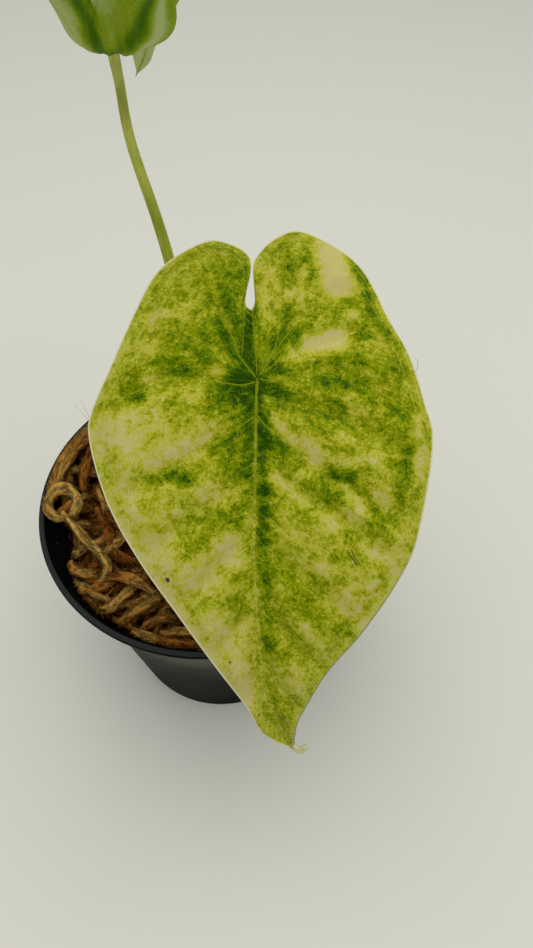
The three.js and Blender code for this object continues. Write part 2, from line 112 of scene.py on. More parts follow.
def through(rows: Array, at: Array) -> Array:
    """A smooth line through rows of numbers.

    Args:
        rows: one row of numbers for each whole place.
        at: the places asked for, row 0 at 0, row 1 at 1 and so on.

    Returns:
        One row for each place asked for.
    """
    last = len(rows) - 1
    index = np.clip(np.floor(at).astype(int), 0, last - 1)
    share = (at - index)[..., None]
    before = rows[np.clip(index - 1, 0, last)]
    start = rows[index]
    end = rows[index + 1]
    after = rows[np.clip(index + 2, 0, last)]
    square = 2 * before - 5 * start + 4 * end - after
    cubic = 3 * (start - end) + after - before
    return 0.5 * (2 * start + (end - before) * share + square * share**2 + cubic * share**3)


def smooth_path(points: Sequence[Sequence[float]], steps: int) -> Array:
    """A smooth line through points, with even steps along its length.

    Args:
        points: the points that the line passes.
        steps: how many steps it gets.

    Returns:
        The line's points, one row each.
    """
    rows = np.array(points, float)
    fine = through(rows, np.linspace(0, len(rows) - 1, 12 * len(rows)))
    length = np.concatenate(([0], np.cumsum(np.linalg.norm(np.diff(fine, axis=0), axis=1))))
    wanted = np.linspace(0, length[-1], steps + 1)
    return np.column_stack([np.interp(wanted, length, column) for column in fine.T])


def distance_to_path(points: Array, path: Array) -> tuple[Array, Array]:
    """How far points lie from a line of short straight steps.

    Args:
        points: the points, one row each.
        path: the line's points, one row each.

    Returns:
        The distance of each point, and its share of the way along the line.
    """
    best = np.full(len(points), np.inf)
    share = np.zeros(len(points))
    steps = max(1, len(path) - 1)
    for i in range(steps):
        start, end = path[i], path[min(i + 1, len(path) - 1)]
        way = end - start
        square = max(float(way @ way), 1e-9)
        along = np.clip(((points - start) @ way) / square, 0, 1)
        away = np.linalg.norm(points - start - along[:, None] * way, axis=1)
        nearer = away < best
        best = np.where(nearer, away, best)
        share = np.where(nearer, (i + along) / steps, share)
    return best, share


# Meshes


def grid_faces(rows: int, columns: int, closed: bool = False) -> Array:
    """The four-sided faces of a grid of points.

    Args:
        rows: how many rows of points it has.
        columns: how many points each row has.
        closed: whether each row's last point joins its first.

    Returns:
        Four point numbers for each face.
    """
    wide = columns if closed else columns - 1
    row, column = np.meshgrid(np.arange(rows - 1), np.arange(wide), indexing="ij")
    following = (column + 1) % columns
    corners = (
        row * columns + column,
        row * columns + following,
        (row + 1) * columns + following,
        (row + 1) * columns + column,
    )
    return np.stack([corner.ravel() for corner in corners], axis=1)


@dataclass
class Skin:
    """Points, faces and named values that are gathered for one mesh, in millimetres."""

    layout: dict[str, int]
    points: list[Array] = field(default_factory=list)
    faces: list[list[int]] = field(default_factory=list)
    slots: list[int] = field(default_factory=list)
    values: dict[str, list[Array]] = field(default_factory=dict)
    count: int = 0

    def add(
        self, points: Array, faces: Sequence[Array], slot: int = 0, **values: Array | float
    ) -> None:
        """Adds one form.

        Args:
            points: its points, one row each.
            faces: arrays of faces, each of one count of corners.
            slot: the number of its material.
            values: what the named values are at each point. Those left out are 0.
        """
        self.points.append(points)
        for block in faces:
            self.faces.extend((block + self.count).tolist())
            self.slots.extend([slot] * len(block))
        for name, width in self.layout.items():
            value = np.asarray(values.get(name, 0.0), float)
            value = value.reshape(-1, width) if value.ndim else np.full((1, width), value)
            self.values.setdefault(name, []).append(np.broadcast_to(value, (len(points), width)))
        self.count += len(points)

    def mesh(self, name: str, weld: float = 0.0) -> bpy.types.Mesh:
        """Makes the mesh, in metres.

        Args:
            name: the mesh's name.
            weld: points nearer than this, in millimetres, become one.

        Returns:
            The new mesh, smooth shaded.
        """
        mesh = bpy.data.meshes.new(name)
        points = np.concatenate(self.points) * MM
        mesh.from_pydata(points.tolist(), [], self.faces)
        mesh.polygons.foreach_set("material_index", self.slots)
        for label, width in self.layout.items():
            kind = "FLOAT" if width == 1 else "FLOAT_VECTOR"
            attribute = mesh.attributes.new(label, kind, "POINT")
            numbers = np.concatenate(self.values[label]).astype(np.float32).ravel()
            attribute.data.foreach_set("value" if width == 1 else "vector", numbers)
        if weld > 0:
            work = bmesh.new()
            work.from_mesh(mesh)
            bmesh.ops.remove_doubles(work, verts=work.verts, dist=weld * MM)
            bmesh.ops.dissolve_degenerate(work, edges=work.edges, dist=1e-8)
            bmesh.ops.recalc_face_normals(work, faces=work.faces)
            work.to_mesh(mesh)
            work.free()
        mesh.shade_smooth()
        return mesh


@dataclass(frozen=True)
class Tube:
    """A closed tube round a path: its points, faces, and its places round and along."""

    points: Array
    faces: tuple[Array, Array]
    around: Array
    along: Array

    @classmethod
    def of(
        cls,
        path: Array,
        radii: Array,
        sides: int,
        upright: Triple = (0.0, 0.0, 1.0),
        ridges: float = 0.0,
        ridge_count: int = 3,
        twist: float = 0.0,
    ) -> "Tube":
        """Makes a tube.

        Args:
            path: the points of its middle, one row each.
            radii: its radius at each of them.
            sides: how many sides it has.
            upright: a direction that the path never runs along.
            ridges: how high its lengthwise ridges stand, as a share of the radius.
            ridge_count: how many ridges it has.
            twist: how far the ridges turn for each millimetre, in radians.

        Returns:
            The tube.
        """
        way = unit(np.gradient(path, axis=0))
        side = unit(np.cross(way, np.array(upright)))
        out = np.cross(side, way)
        steps = np.linalg.norm(np.diff(path, axis=0), axis=1)
        length = np.concatenate(([0], np.cumsum(steps)))
        turn = np.linspace(0, 2 * math.pi, sides, endpoint=False)[None, :, None]
        ridge = 1 + ridges * np.cos(ridge_count * turn + twist * length[:, None, None])
        spoke = side[:, None] * np.cos(turn) + out[:, None] * np.sin(turn)
        rings = path[:, None] + spoke * radii[:, None, None] * ridge
        points = np.concatenate([rings.reshape(-1, 3), path[:1], path[-1:]])
        body = grid_faces(len(path), sides, closed=True)
        first = len(points) - 2
        ring = np.arange(sides)
        after = (ring + 1) % sides
        end = (len(path) - 1) * sides
        start_cap = np.stack([np.full(sides, first), after, ring], axis=1)
        end_cap = np.stack([np.full(sides, first + 1), ring + end, after + end], axis=1)
        around = np.tile(np.arange(sides) / sides, len(path))
        return cls(
            points=points,
            faces=(body, np.concatenate([start_cap, end_cap])),
            around=np.concatenate([around, [0, 0]]),
            along=np.concatenate([np.repeat(length, sides), [0, length[-1]]]),
        )

    def strand(self, own: float) -> Array:
        """The value (round, along, own) at each point, for the fibres."""
        return np.stack([self.around, self.along, np.full(len(self.along), own)], axis=1)


def turned(profile: Sequence[Pair], sides: int) -> tuple[Array, list[Array]]:
    """A form turned about +Z from radius and height pairs. A radius of 0 closes it.

    Args:
        profile: the pairs, in order along the outline.
        sides: how many sides it has.

    Returns:
        Its points and its faces. Points on the axis are to be welded.
    """
    turn = np.linspace(0, 2 * math.pi, sides, endpoint=False)
    radius, height = np.array(profile, float).T[..., None]
    points = around(radius, turn, height)
    return points.reshape(-1, 3), [grid_faces(len(profile), sides, closed=True)]


def show(name: str, mesh: bpy.types.Mesh, materials: Sequence[Material]) -> Piece:
    """Puts a mesh in the scene as an object at the origin.

    Args:
        name: the object's name.
        mesh: its mesh.
        materials: its materials, in the order of the mesh's slots.

    Returns:
        The object.
    """
    piece = bpy.data.objects.new(name, mesh)
    bpy.context.scene.collection.objects.link(piece)
    for material in materials:
        mesh.materials.append(material)
    return piece


def stand_for(piece: Piece, node: str) -> None:
    """Makes a piece stand for a CAD node.

    Args:
        piece: the finished piece, in place.
        node: the node that it replaces.
    """
    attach(piece, BODY)
    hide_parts(node)
    LOG.info("%s: %d faces stand for %s", piece.name, len(piece.data.polygons), node)


# Shader wiring

Source = Socket | float | Sequence[float]


class Wiring:
    """Adds nodes to one node tree and links them."""

    def __init__(self, tree: Tree) -> None:
        """Starts on a tree."""
        self.tree = tree

    def node(self, kind: str, **settings: object) -> Node:
        """Adds a node of a kind, with its settings."""
        made = self.tree.nodes.new(kind)
        for name, value in settings.items():
            setattr(made, name, value)
        return made

    def feed(self, socket: Socket, source: Source) -> None:
        """Links a socket to another, or sets its value."""
        if isinstance(source, Socket):
            self.tree.links.new(source, socket)
        elif isinstance(source, (int, float)):
            socket.default_value = source
        else:
            wide = len(socket.default_value)
            socket.default_value = (*source, 1.0)[:wide]

    def math(
        self, operation: str, first: Source, second: Source = 0.0, third: Source = 0.0
    ) -> Socket:
        """A sum of one to three numbers."""
        made = self.node("ShaderNodeMath", operation=operation)
        for socket, source in zip(made.inputs, (first, second, third)):
            self.feed(socket, source)
        return made.outputs[0]

    def times(self, first: Source, second: Source) -> Socket:
        """One number times another."""
        return self.math("MULTIPLY", first, second)

    def sloped(self, value: Source, slope: Source, start: Source) -> Socket:
        """A number times a slope, plus a start."""
        return self.math("MULTIPLY_ADD", value, slope, start)

    def scaled(self, vector: Source, factor: Sequence[float]) -> Socket:
        """A vector times three factors."""
        made = self.node("ShaderNodeVectorMath", operation="MULTIPLY")
        self.feed(made.inputs[0], vector)
        self.feed(made.inputs[1], factor)
        return made.outputs[0]

    def split(self, vector: Source) -> Sequence[Socket]:
        """The three parts of a vector."""
        made = self.node("ShaderNodeSeparateXYZ")
        self.feed(made.inputs[0], vector)
        return made.outputs

    def joined(self, x: Source, y: Source, z: Source) -> Socket:
        """A vector from three numbers."""
        made = self.node("ShaderNodeCombineXYZ")
        for socket, source in zip(made.inputs, (x, y, z)):
            self.feed(socket, source)
        return made.outputs[0]

    def value(self, name: str) -> Socket:
        """A number that the mesh carries."""
        return self.node("ShaderNodeAttribute", attribute_name=name).outputs["Fac"]

    def vector(self, name: str) -> Socket:
        """A vector that the mesh carries."""
        return self.node("ShaderNodeAttribute", attribute_name=name).outputs["Vector"]

    def place(self) -> Socket:
        """The place on the object, in metres."""
        return self.node("ShaderNodeTexCoord").outputs["Object"]

    def noise(
        self,
        vector: Source,
        scale: Source,
        detail: float = 3.0,
        roughness: float = 0.55,
        distortion: float = 0.0,
    ) -> Socket:
        """Soft noise from 0 to 1."""
        made = self.node("ShaderNodeTexNoise")
        self.feed(made.inputs["Vector"], vector)
        self.feed(made.inputs["Scale"], scale)
        self.feed(made.inputs["Detail"], detail)
        self.feed(made.inputs["Roughness"], roughness)
        self.feed(made.inputs["Distortion"], distortion)
        return made.outputs["Fac"]

    def cells(self, vector: Source, scale: float) -> Socket:
        """The distance in a pattern of cells."""
        made = self.node("ShaderNodeTexVoronoi")
        self.feed(made.inputs["Vector"], vector)
        self.feed(made.inputs["Scale"], scale)
        return made.outputs["Distance"]

    def mapped(
        self, value: Source, low: float, high: float, start: float = 0.0, end: float = 1.0
    ) -> Socket:
        """A value moved smoothly from one range to another."""
        made = self.node("ShaderNodeMapRange", interpolation_type="SMOOTHSTEP")
        for socket, source in zip(made.inputs, (value, low, high, start, end)):
            self.feed(socket, source)
        return made.outputs[0]

    def mix(self, share: Source, first: Source, second: Source, blend: str = "MIX") -> Socket:
        """Two colours mixed."""
        made = self.node("ShaderNodeMix", data_type="RGBA", blend_type=blend)
        self.feed(made.inputs[0], share)
        self.feed(made.inputs[6], first)
        self.feed(made.inputs[7], second)
        return made.outputs[2]

    def ramp(self, share: Source, stops: Sequence[tuple[float, Colour]]) -> Socket:
        """A colour from a row of stops."""
        made = self.node("ShaderNodeValToRGB")
        band = made.color_ramp
        while len(band.elements) < len(stops):
            band.elements.new(1.0)
        for element, (place, colour) in zip(band.elements, stops):
            element.position = place
            element.color = (*colour, 1.0)
        self.feed(made.inputs[0], share)
        return made.outputs[0]

    def bump(self, height: Source, strength: float, distance: float) -> Socket:
        """A normal bent by a height, whose depth is in millimetres."""
        made = self.node("ShaderNodeBump")
        made.inputs["Strength"].default_value = strength
        made.inputs["Distance"].default_value = distance * MM
        self.feed(made.inputs["Height"], height)
        return made.outputs[0]

    def dress(self, shader: Node, colour: Source, rough: Source, specular: float) -> None:
        """Feeds a shader's colour and roughness, and sets how strongly it shines."""
        self.feed(shader.inputs["Base Color"], colour)
        self.feed(shader.inputs["Roughness"], rough)
        shader.inputs["Specular IOR Level"].default_value = specular

    def roughen(self, shader: Node, height: Source, strength: float, distance: float) -> None:
        """Bends a shader's normal by a height."""
        self.feed(shader.inputs["Normal"], self.bump(height, strength, distance))

    def group(self, tree: Tree, **sources: Source) -> Node:
        """Places a node group and feeds its inputs by name."""
        made = self.node("ShaderNodeGroup", node_tree=tree)
        for name, source in sources.items():
            self.feed(made.inputs[name], source)
        return made


class Effects:
    """Effects that several materials use, each a node group that is built once."""

    def __init__(self) -> None:
        """Builds the groups."""
        self.specks = self._specks()
        self.fibres = self._fibres()
        self.marbling = self._marbling()

    @staticmethod
    def _group(
        name: str, inputs: dict[str, str], outputs: dict[str, str]
    ) -> tuple[Wiring, Node, Node]:
        """Starts a node group.

        Args:
            name: the group's name.
            inputs: the kind of socket for each input.
            outputs: the kind of socket for each output.

        Returns:
            Its wiring, and its input and output nodes.
        """
        tree = bpy.data.node_groups.new(name, "ShaderNodeTree")
        for label, kind in inputs.items():
            tree.interface.new_socket(label, in_out="INPUT", socket_type=kind)
        for label, kind in outputs.items():
            tree.interface.new_socket(label, in_out="OUTPUT", socket_type=kind)
        wiring = Wiring(tree)
        return wiring, wiring.node("NodeGroupInput"), wiring.node("NodeGroupOutput")

    def _specks(self) -> Tree:
        """Fine scattered specks of dust or grain."""
        wiring, source, result = self._group(
            "specks",
            {"Vector": VECTOR, "Fineness": NUMBER, "Amount": NUMBER},
            {"Mask": NUMBER},
        )
        spots = wiring.node("ShaderNodeTexVoronoi")
        wiring.feed(spots.inputs["Vector"], source.outputs["Vector"])
        wiring.feed(spots.inputs["Scale"], source.outputs["Fineness"])
        size = wiring.times(spots.outputs["Color"], source.outputs["Amount"])
        near = wiring.math("LESS_THAN", spots.outputs["Distance"], size)
        wiring.feed(result.inputs["Mask"], near)
        return wiring.tree

    def _fibres(self) -> Tree:
        """Long fibres: noise stretched along a strand. The vector is (round, along, own)."""
        wiring, source, result = self._group(
            "fibres",
            {"Strand": VECTOR, "Fineness": NUMBER},
            {"Mask": NUMBER, "Height": NUMBER},
        )
        parts = wiring.split(source.outputs["Strand"])
        turn = wiring.times(parts[0], 2 * math.pi)
        along = wiring.times(parts[1], 0.22)
        own = wiring.sloped(parts[2], 37.0, along)
        ring = wiring.joined(wiring.math("COSINE", turn), wiring.math("SINE", turn), own)
        broad = wiring.noise(ring, source.outputs["Fineness"], 4.0, 0.5)
        wiring.feed(result.inputs["Mask"], wiring.mapped(broad, 0.32, 0.68))
        wiring.feed(result.inputs["Height"], broad)
        return wiring.tree

    def _marbling(self) -> Tree:
        """How green a blade is: its listed tone, broken up along its side veins."""
        wiring, source, result = self._group(
            "marbling",
            {"Tone": NUMBER, "Flat": VECTOR, "Ray": VECTOR, "Own": NUMBER, "Break": NUMBER},
            {"Green": NUMBER, "Stipple": NUMBER},
        )
        ray = wiring.split(source.outputs["Ray"])
        flat = wiring.split(source.outputs["Flat"])
        own = wiring.sloped(ray[2], 5.0, source.outputs["Own"])
        across = wiring.times(ray[0], 0.42)
        along = wiring.times(ray[1], 0.20)
        broad = wiring.noise(wiring.joined(across, along, own), 1.0, 5.0, 0.66, 0.7)
        across = wiring.times(ray[0], 1.7)
        along = wiring.times(ray[1], 0.8)
        fine = wiring.noise(wiring.joined(across, along, own), 1.0, 3.0, 0.6, 0.3)
        sheet = wiring.joined(flat[0], flat[1], source.outputs["Own"])
        patches = wiring.noise(sheet, 0.42, 6.0, 0.68, 0.9)
        torn = wiring.mapped(wiring.noise(sheet, 0.62, 8.0, 0.72, 0.6), 0.45, 0.55)
        speckle = wiring.noise(sheet, 2.2, 4.0, 0.75)
        stipple = wiring.noise(sheet, 7.0, 2.0, 0.6)
        parts = (
            (broad, 0.68), (fine, 0.30), (patches, 0.70), (torn, 0.12), (speckle, 0.92), (stipple, 0.75)
        )
        rough = 0.0
        for value, weight in parts:
            level = wiring.math("SUBTRACT", value, 0.5)
            rough = wiring.sloped(level, weight, rough)
        total = wiring.sloped(source.outputs["Tone"], 0.46, 0.5)
        total = wiring.sloped(rough, source.outputs["Break"], total)
        wiring.feed(result.inputs["Green"], total)
        wiring.feed(result.inputs["Stipple"], stipple)
        return wiring.tree


def new_material(name: str) -> tuple[Material, Wiring, Node]:
    """Starts a material.

    Args:
        name: its name.

    Returns:
        The material, its wiring and its main shader.
    """
    material = bpy.data.materials.new(name)
    material.use_nodes = True
    wiring = Wiring(material.node_tree)
    shader = material.node_tree.nodes["Principled BSDF"]
    return material, wiring, shader


# Finishes


@dataclass(frozen=True)
class LeafFinish:
    """The marbled sheet of a blade, above and below.

    Attributes:
        name: the material's name.
        own: where in the noise this blade lies.
        bands: the colours from palest to greenest, each with the range of green that it fills.
        under: the tint of the underside.
        under_share: how much of it the underside takes.
        edge: the colour of the thin outer line of the margin: its pale rim, lightened as a painted
            highlight.
        line: the colour of the lines that run along the margin.
        margin_lines: how far inside the margin each of them runs, and how strong it is.
        painted_shade_edge: the colour of that outer line low on the right side, a painted shadow where
            the margin rolls under.
        vein_share: how much paler the sheet gets along a vein.
        broken: how strongly noise breaks up the listed tone.
        specular: how strongly it shines.
        roughness: how dull the surface is.
    """

    name: str
    own: float
    bands: tuple[tuple[float, float, Colour], ...] = (
        (0.00, 0.07, (0.51, 0.45, 0.165)),
        (0.22, 0.36, (0.42, 0.415, 0.035)),
        (0.43, 0.54, (0.265, 0.29, 0.002)),
        (0.59, 0.70, (0.15, 0.205, 0.001)),
        (0.78, 0.88, (0.055, 0.12, 0.0005)),
        (1.00, 1.00, (0.014, 0.048, 0.0005)),
    )
    under: Colour = (0.34, 0.40, 0.12)
    under_share: float = 0.15
    edge: Colour = (0.74, 0.70, 0.46)
    line: Colour = (0.44, 0.46, 0.07)
    margin_lines: tuple[Pair, ...] = ((2.3, 0.28), (0.85, 0.30))
    painted_shade_edge: Colour = (0.17, 0.16, 0.05)
    vein_share: float = 0.42
    broken: float = 1.2
    specular: float = 0.05
    roughness: float = 0.42

    def make(self, effects: Effects) -> Material:
        """Builds the material."""
        material, wiring, shader = new_material(self.name)
        flat = wiring.vector("flat")
        ray = wiring.vector("ray")
        tone = wiring.value("tone")
        edge = wiring.value("edge")
        vein = wiring.value("vein")
        marbled = wiring.group(
            effects.marbling, Tone=tone, Flat=flat, Ray=ray, Own=self.own, Break=self.broken
        )
        stops = [(place, tint) for low, high, tint in self.bands for place in (low, high)]
        near = wiring.times(wiring.times(vein, vein), -self.vein_share * 0.4)
        green = wiring.math("ADD", marbled.outputs["Green"], near)
        colour = wiring.ramp(green, stops)
        grain = wiring.sloped(marbled.outputs["Stipple"], 0.5, 0.75)
        colour = wiring.mix(1.0, colour, wiring.joined(grain, grain, grain), "MULTIPLY")
        colour = wiring.mix(self._lines(wiring, ray, edge), colour, self.line)
        below = wiring.split(flat)[2]
        colour = wiring.mix(wiring.times(below, self.under_share), colour, self.under)
        # The margin's thin outer line: its pale rim, lightened as a painted highlight.
        rim = wiring.mapped(edge, 0.22, 0.06, 0.0, 0.8)
        # Low on the right side that line turns dark instead: a painted shadow where the margin rolls
        # under.
        low = wiring.mapped(wiring.split(flat)[1], -20.0, -32.0)
        low = wiring.times(low, wiring.mapped(wiring.split(ray)[2], 0.0, 1.0, 0.0, 0.8))
        colour = wiring.mix(rim, colour, wiring.mix(low, self.edge, self.painted_shade_edge))
        rough = wiring.sloped(marbled.outputs["Stipple"], 0.16, self.roughness - 0.08)
        wiring.dress(shader, colour, wiring.sloped(below, 0.15, rough), self.specular)
        shader.inputs["Specular Tint"].default_value = LEAF_SHINE
        cells = wiring.cells(flat, 3.2)
        height = wiring.sloped(marbled.outputs["Stipple"], 0.6, cells)
        height = wiring.sloped(vein, -0.8, height)
        wiring.roughen(shader, height, 0.35, 0.05)
        return material

    def _lines(self, wiring: Wiring, ray: Socket, edge: Socket) -> Socket:
        """The mask of the fine lines along the margin and out to it."""
        place = wiring.times(wiring.split(ray)[0], 0.8)
        wander = wiring.noise(ray, 0.3, 1.0)
        swing = wiring.math("PINGPONG", wiring.math("ADD", place, wander), 1.0)
        mask = wiring.mapped(swing, 0.10, 0.02, 0.0, 0.13)
        for inside, strength in self.margin_lines:
            away = wiring.math("ABSOLUTE", wiring.math("SUBTRACT", edge, inside))
            mask = wiring.math("ADD", mask, wiring.mapped(away, 0.17, 0.04, 0.0, strength))
        return wiring.math("MINIMUM", mask, 1.0)


@dataclass(frozen=True)
class VeinFinish:
    """The pale raised lines of the veins."""

    name: str
    own: float
    light: Colour = (0.46, 0.45, 0.05)
    dark: Colour = (0.19, 0.235, 0.006)
    specular: float = 0.06
    roughness: float = 0.42

    def make(self, effects: Effects) -> Material:
        """Builds the material."""
        material, wiring, shader = new_material(self.name)
        flat = wiring.vector("flat")
        ray = wiring.vector("ray")
        tone = wiring.value("tone")
        marbled = wiring.group(
            effects.marbling, Tone=tone, Flat=flat, Ray=ray, Own=self.own, Break=1.0
        )
        share = wiring.mapped(marbled.outputs["Green"], 0.3, 0.75)
        rough = wiring.sloped(marbled.outputs["Stipple"], 0.1, self.roughness)
        wiring.dress(shader, wiring.mix(share, self.light, self.dark), rough, self.specular)
        shader.inputs["Specular Tint"].default_value = LEAF_SHINE
        return material


@dataclass(frozen=True)
class MarkFinish:
    """The small dark marks and scratches on a blade."""

    name: str
    dark: Colour = (0.040, 0.010, 0.004)
    light: Colour = (0.11, 0.040, 0.012)
    roughness: float = 0.6

    def make(self, effects: Effects) -> Material:
        """Builds the material."""
        material, wiring, shader = new_material(self.name)
        grain = wiring.mapped(wiring.noise(wiring.place(), 3000.0, 2.0), 0.35, 0.65)
        wiring.feed(shader.inputs["Base Color"], wiring.mix(grain, self.dark, self.light))
        wiring.feed(shader.inputs["Roughness"], wiring.sloped(grain, 0.2, self.roughness))
        return material


@dataclass(frozen=True)
class StalkFinish:
    """The striped green skin of a stalk. Its "strand" value is (round, along, own)."""

    name: str
    light: Colour = (0.74, 0.73, 0.20)
    green: Colour = (0.33, 0.38, 0.018)
    deep: Colour = (0.18, 0.22, 0.008)
    foot: Colour = (0.40, 0.27, 0.11)
    specular: float = 0.15
    roughness: float = 0.42

    def make(self, effects: Effects) -> Material:
        """Builds the material."""
        material, wiring, shader = new_material(self.name)
        strand = wiring.vector("strand")
        height = wiring.value("share")
        fibres = wiring.group(effects.fibres, Strand=strand, Fineness=2.2)
        green = wiring.mapped(height, 1.0, 0.72, 0.12, 0.72)
        green = wiring.sloped(fibres.outputs["Mask"], 0.28, green)
        colour = wiring.mix(green, self.light, self.green)
        mottle = wiring.mapped(wiring.noise(wiring.place(), 120.0, 4.0), 0.42, 0.68)
        colour = wiring.mix(wiring.times(mottle, 0.55), colour, self.deep)
        foot = wiring.mapped(height, 0.30, 0.12, 0.0, 0.7)
        colour = wiring.mix(foot, colour, self.foot)
        rough = wiring.sloped(fibres.outputs["Mask"], 0.12, self.roughness)
        wiring.dress(shader, colour, rough, self.specular)
        shader.inputs["Specular Tint"].default_value = STALK_SHINE
        wiring.roughen(shader, fibres.outputs["Height"], 0.5, 0.08)
        return material


@dataclass(frozen=True)
class PaperFinish:
    """The dry papery skin of the crown and its roots."""

    name: str
    light: Colour = (0.42, 0.30, 0.13)
    dark: Colour = (0.12, 0.07, 0.03)
    roughness: float = 0.75

    def make(self, effects: Effects) -> Material:
        """Builds the material."""
        material, wiring, shader = new_material(self.name)
        strand = wiring.vector("strand")
        fibres = wiring.group(effects.fibres, Strand=strand, Fineness=3.5)
        blotch = wiring.mapped(wiring.noise(wiring.place(), 260.0, 4.0), 0.35, 0.65)
        share = wiring.times(fibres.outputs["Mask"], blotch)
        wiring.feed(shader.inputs["Base Color"], wiring.mix(share, self.light, self.dark))
        wiring.feed(shader.inputs["Roughness"], wiring.sloped(blotch, 0.15, self.roughness))
        wiring.roughen(shader, fibres.outputs["Height"], 0.8, 0.15)
        return material


@dataclass(frozen=True)
class MossFinish:
    """Dried long-fibre sphagnum. "tint" is a strand's own colour, from 0, straw, to 1, dark; deep in
    the pile its darker end is painted shade.
    """

    name: str
    straw: Colour = (0.86, 0.57, 0.15)
    tan: Colour = (0.52, 0.25, 0.045)
    rust: Colour = (0.36, 0.11, 0.013)
    dark: Colour = (0.022, 0.008, 0.002)
    specular: float = 0.04
    roughness: float = 0.85

    def make(self, effects: Effects) -> Material:
        """Builds the material."""
        material, wiring, shader = new_material(self.name)
        strand = wiring.vector("strand")
        tint = wiring.value("tint")
        fibres = wiring.group(effects.fibres, Strand=strand, Fineness=3.0)
        patch = wiring.noise(wiring.place(), 90.0, 3.0)
        level = wiring.sloped(wiring.math("SUBTRACT", patch, 0.5), 0.9, tint)
        stops = ((0.0, self.straw), (0.4, self.tan), (0.7, self.rust), (1.0, self.dark))
        colour = wiring.ramp(level, stops)
        shade = wiring.times(fibres.outputs["Mask"], 0.3)
        colour = wiring.mix(shade, colour, self.dark)
        rough = wiring.sloped(patch, 0.2, self.roughness - 0.1)
        wiring.dress(shader, colour, rough, self.specular)
        wiring.roughen(shader, fibres.outputs["Height"], 1.0, 0.3)
        return material


@dataclass(frozen=True)
class PlasticFinish:
    """Thin black moulded plastic with a satin skin, a little dust and painted light outside.

    Attributes:
        name: the material's name.
        body: the colour inside.
        worn: the same where it is worn.
        dust: the colour of its dust.
        top: the colour of the lip's upper face, a painted highlight.
        height: how high it stands, in millimetres.
        painted_light_by_height: the colours outside, each with its share of the height: painted
            reflection and shade, darkest at the foot, lightest in a band below the collar and dark
            again under the lip.
        specular: how strongly it shines.
        roughness: how dull it is.
    """

    name: str
    body: Colour = (0.0025, 0.003, 0.0035)
    worn: Colour = (0.008, 0.008, 0.007)
    dust: Colour = (0.14, 0.12, 0.09)
    top: Colour = (0.028, 0.032, 0.031)
    height: float = 66.0
    painted_light_by_height: tuple[tuple[float, Colour], ...] = (
        (0.00, (0.0005, 0.0005, 0.0005)),
        (0.21, (0.009, 0.009, 0.008)),
        (0.45, (0.026, 0.026, 0.022)),
        (0.62, (0.048, 0.048, 0.039)),
        (0.72, (0.122, 0.121, 0.092)),
        (0.86, (0.138, 0.136, 0.103)),
        (0.96, (0.060, 0.060, 0.050)),
        (0.985, (0.004, 0.006, 0.007)),
    )
    specular: float = 0.01
    roughness: float = 0.42

    def make(self, effects: Effects) -> Material:
        """Builds the material."""
        material, wiring, shader = new_material(self.name)
        place = wiring.place()
        cloud = wiring.mapped(wiring.noise(place, 55.0, 4.0), 0.35, 0.75)
        colour = wiring.mix(wiring.times(cloud, 0.5), self.body, self.worn)
        specks = wiring.group(effects.specks, Vector=place, Fineness=420.0, Amount=0.16)
        dusty = wiring.times(specks.outputs["Mask"], 0.35)
        colour = wiring.mix(dusty, colour, self.dust)
        level = wiring.times(wiring.split(place)[2], 1 / (self.height * MM))
        normal = wiring.node("ShaderNodeNewGeometry").outputs["Normal"]
        facing = wiring.node("ShaderNodeVectorMath", operation="DOT_PRODUCT")
        wiring.feed(facing.inputs[0], normal)
        wiring.feed(facing.inputs[1], wiring.scaled(place, (1.0, 1.0, 0.0)))
        outside = wiring.mapped(facing.outputs["Value"], 0.0, 0.01, 0.0, 0.9)
        # Painted reflection and shade outside, by height: darkest at the foot, a light band below the
        # collar, dark again under the lip.
        colour = wiring.mix(outside, colour, wiring.ramp(level, self.painted_light_by_height))
        # A painted highlight on the lip's upper face.
        upper = wiring.mapped(wiring.split(normal)[2], 0.5, 0.9)
        upper = wiring.times(upper, wiring.mapped(level, 0.985, 0.993))
        colour = wiring.mix(upper, colour, self.top)
        rough = wiring.sloped(cloud, 0.14, self.roughness)
        wiring.dress(shader, colour, rough, self.specular)
        grain = wiring.noise(wiring.scaled(place, (1.0, 1.0, 0.35)), 1500.0, 2.0)
        wiring.roughen(shader, grain, 0.25, 0.03)
        return material


@dataclass(frozen=True)
class FloorFinish:
    """A plain pale seamless floor."""

    name: str
    colour: Colour = (0.75, 0.75, 0.655)
    specular: float = 0.2
    roughness: float = 0.7

    def make(self, effects: Effects) -> Material:
        """Builds the material."""
        material, wiring, shader = new_material(self.name)
        soft = wiring.noise(wiring.place(), 3.0, 1.0)
        shade = wiring.mapped(soft, 0.2, 0.8, 0.985, 1.0)
        tone = wiring.mix(1.0, self.colour, wiring.joined(shade, shade, shade), "MULTIPLY")
        wiring.dress(shader, tone, self.roughness, self.specular)
        return material


# Leaves


@dataclass(frozen=True)
class Ray:
    """A line from the midrib to the margin on the flat blade.

    Attributes:
        along: how far below the joint it leaves the midrib.
        left: its end on the left margin, and the point that it passes half-way.
        right: the same on the right.
    """

    along: float
    left: tuple[float, float, float, float]
    right: tuple[float, float, float, float]


@dataclass(frozen=True)
class Vein:
    """A vein on the flat blade: its width at both ends and the points that it passes."""

    start_width: float
    end_width: float
    path: tuple[Pair, ...]


@dataclass(frozen=True)
class Patch:
    """A greener or paler place on the flat blade.

    Attributes:
        amount: more than 0 is greener, less than 0 is paler.
        reach: how far it spreads to each side of its path.
        path: the points that it passes.
    """

    amount: float
    reach: float
    path: tuple[Pair, ...]


def patches(*rows: tuple[float | Pair, ...]) -> tuple[Patch, ...]:
    """Patches from rows of an amount, a reach, and the points that each passes."""
    return tuple(Patch(amount, reach, tuple(path)) for amount, reach, *path in rows)


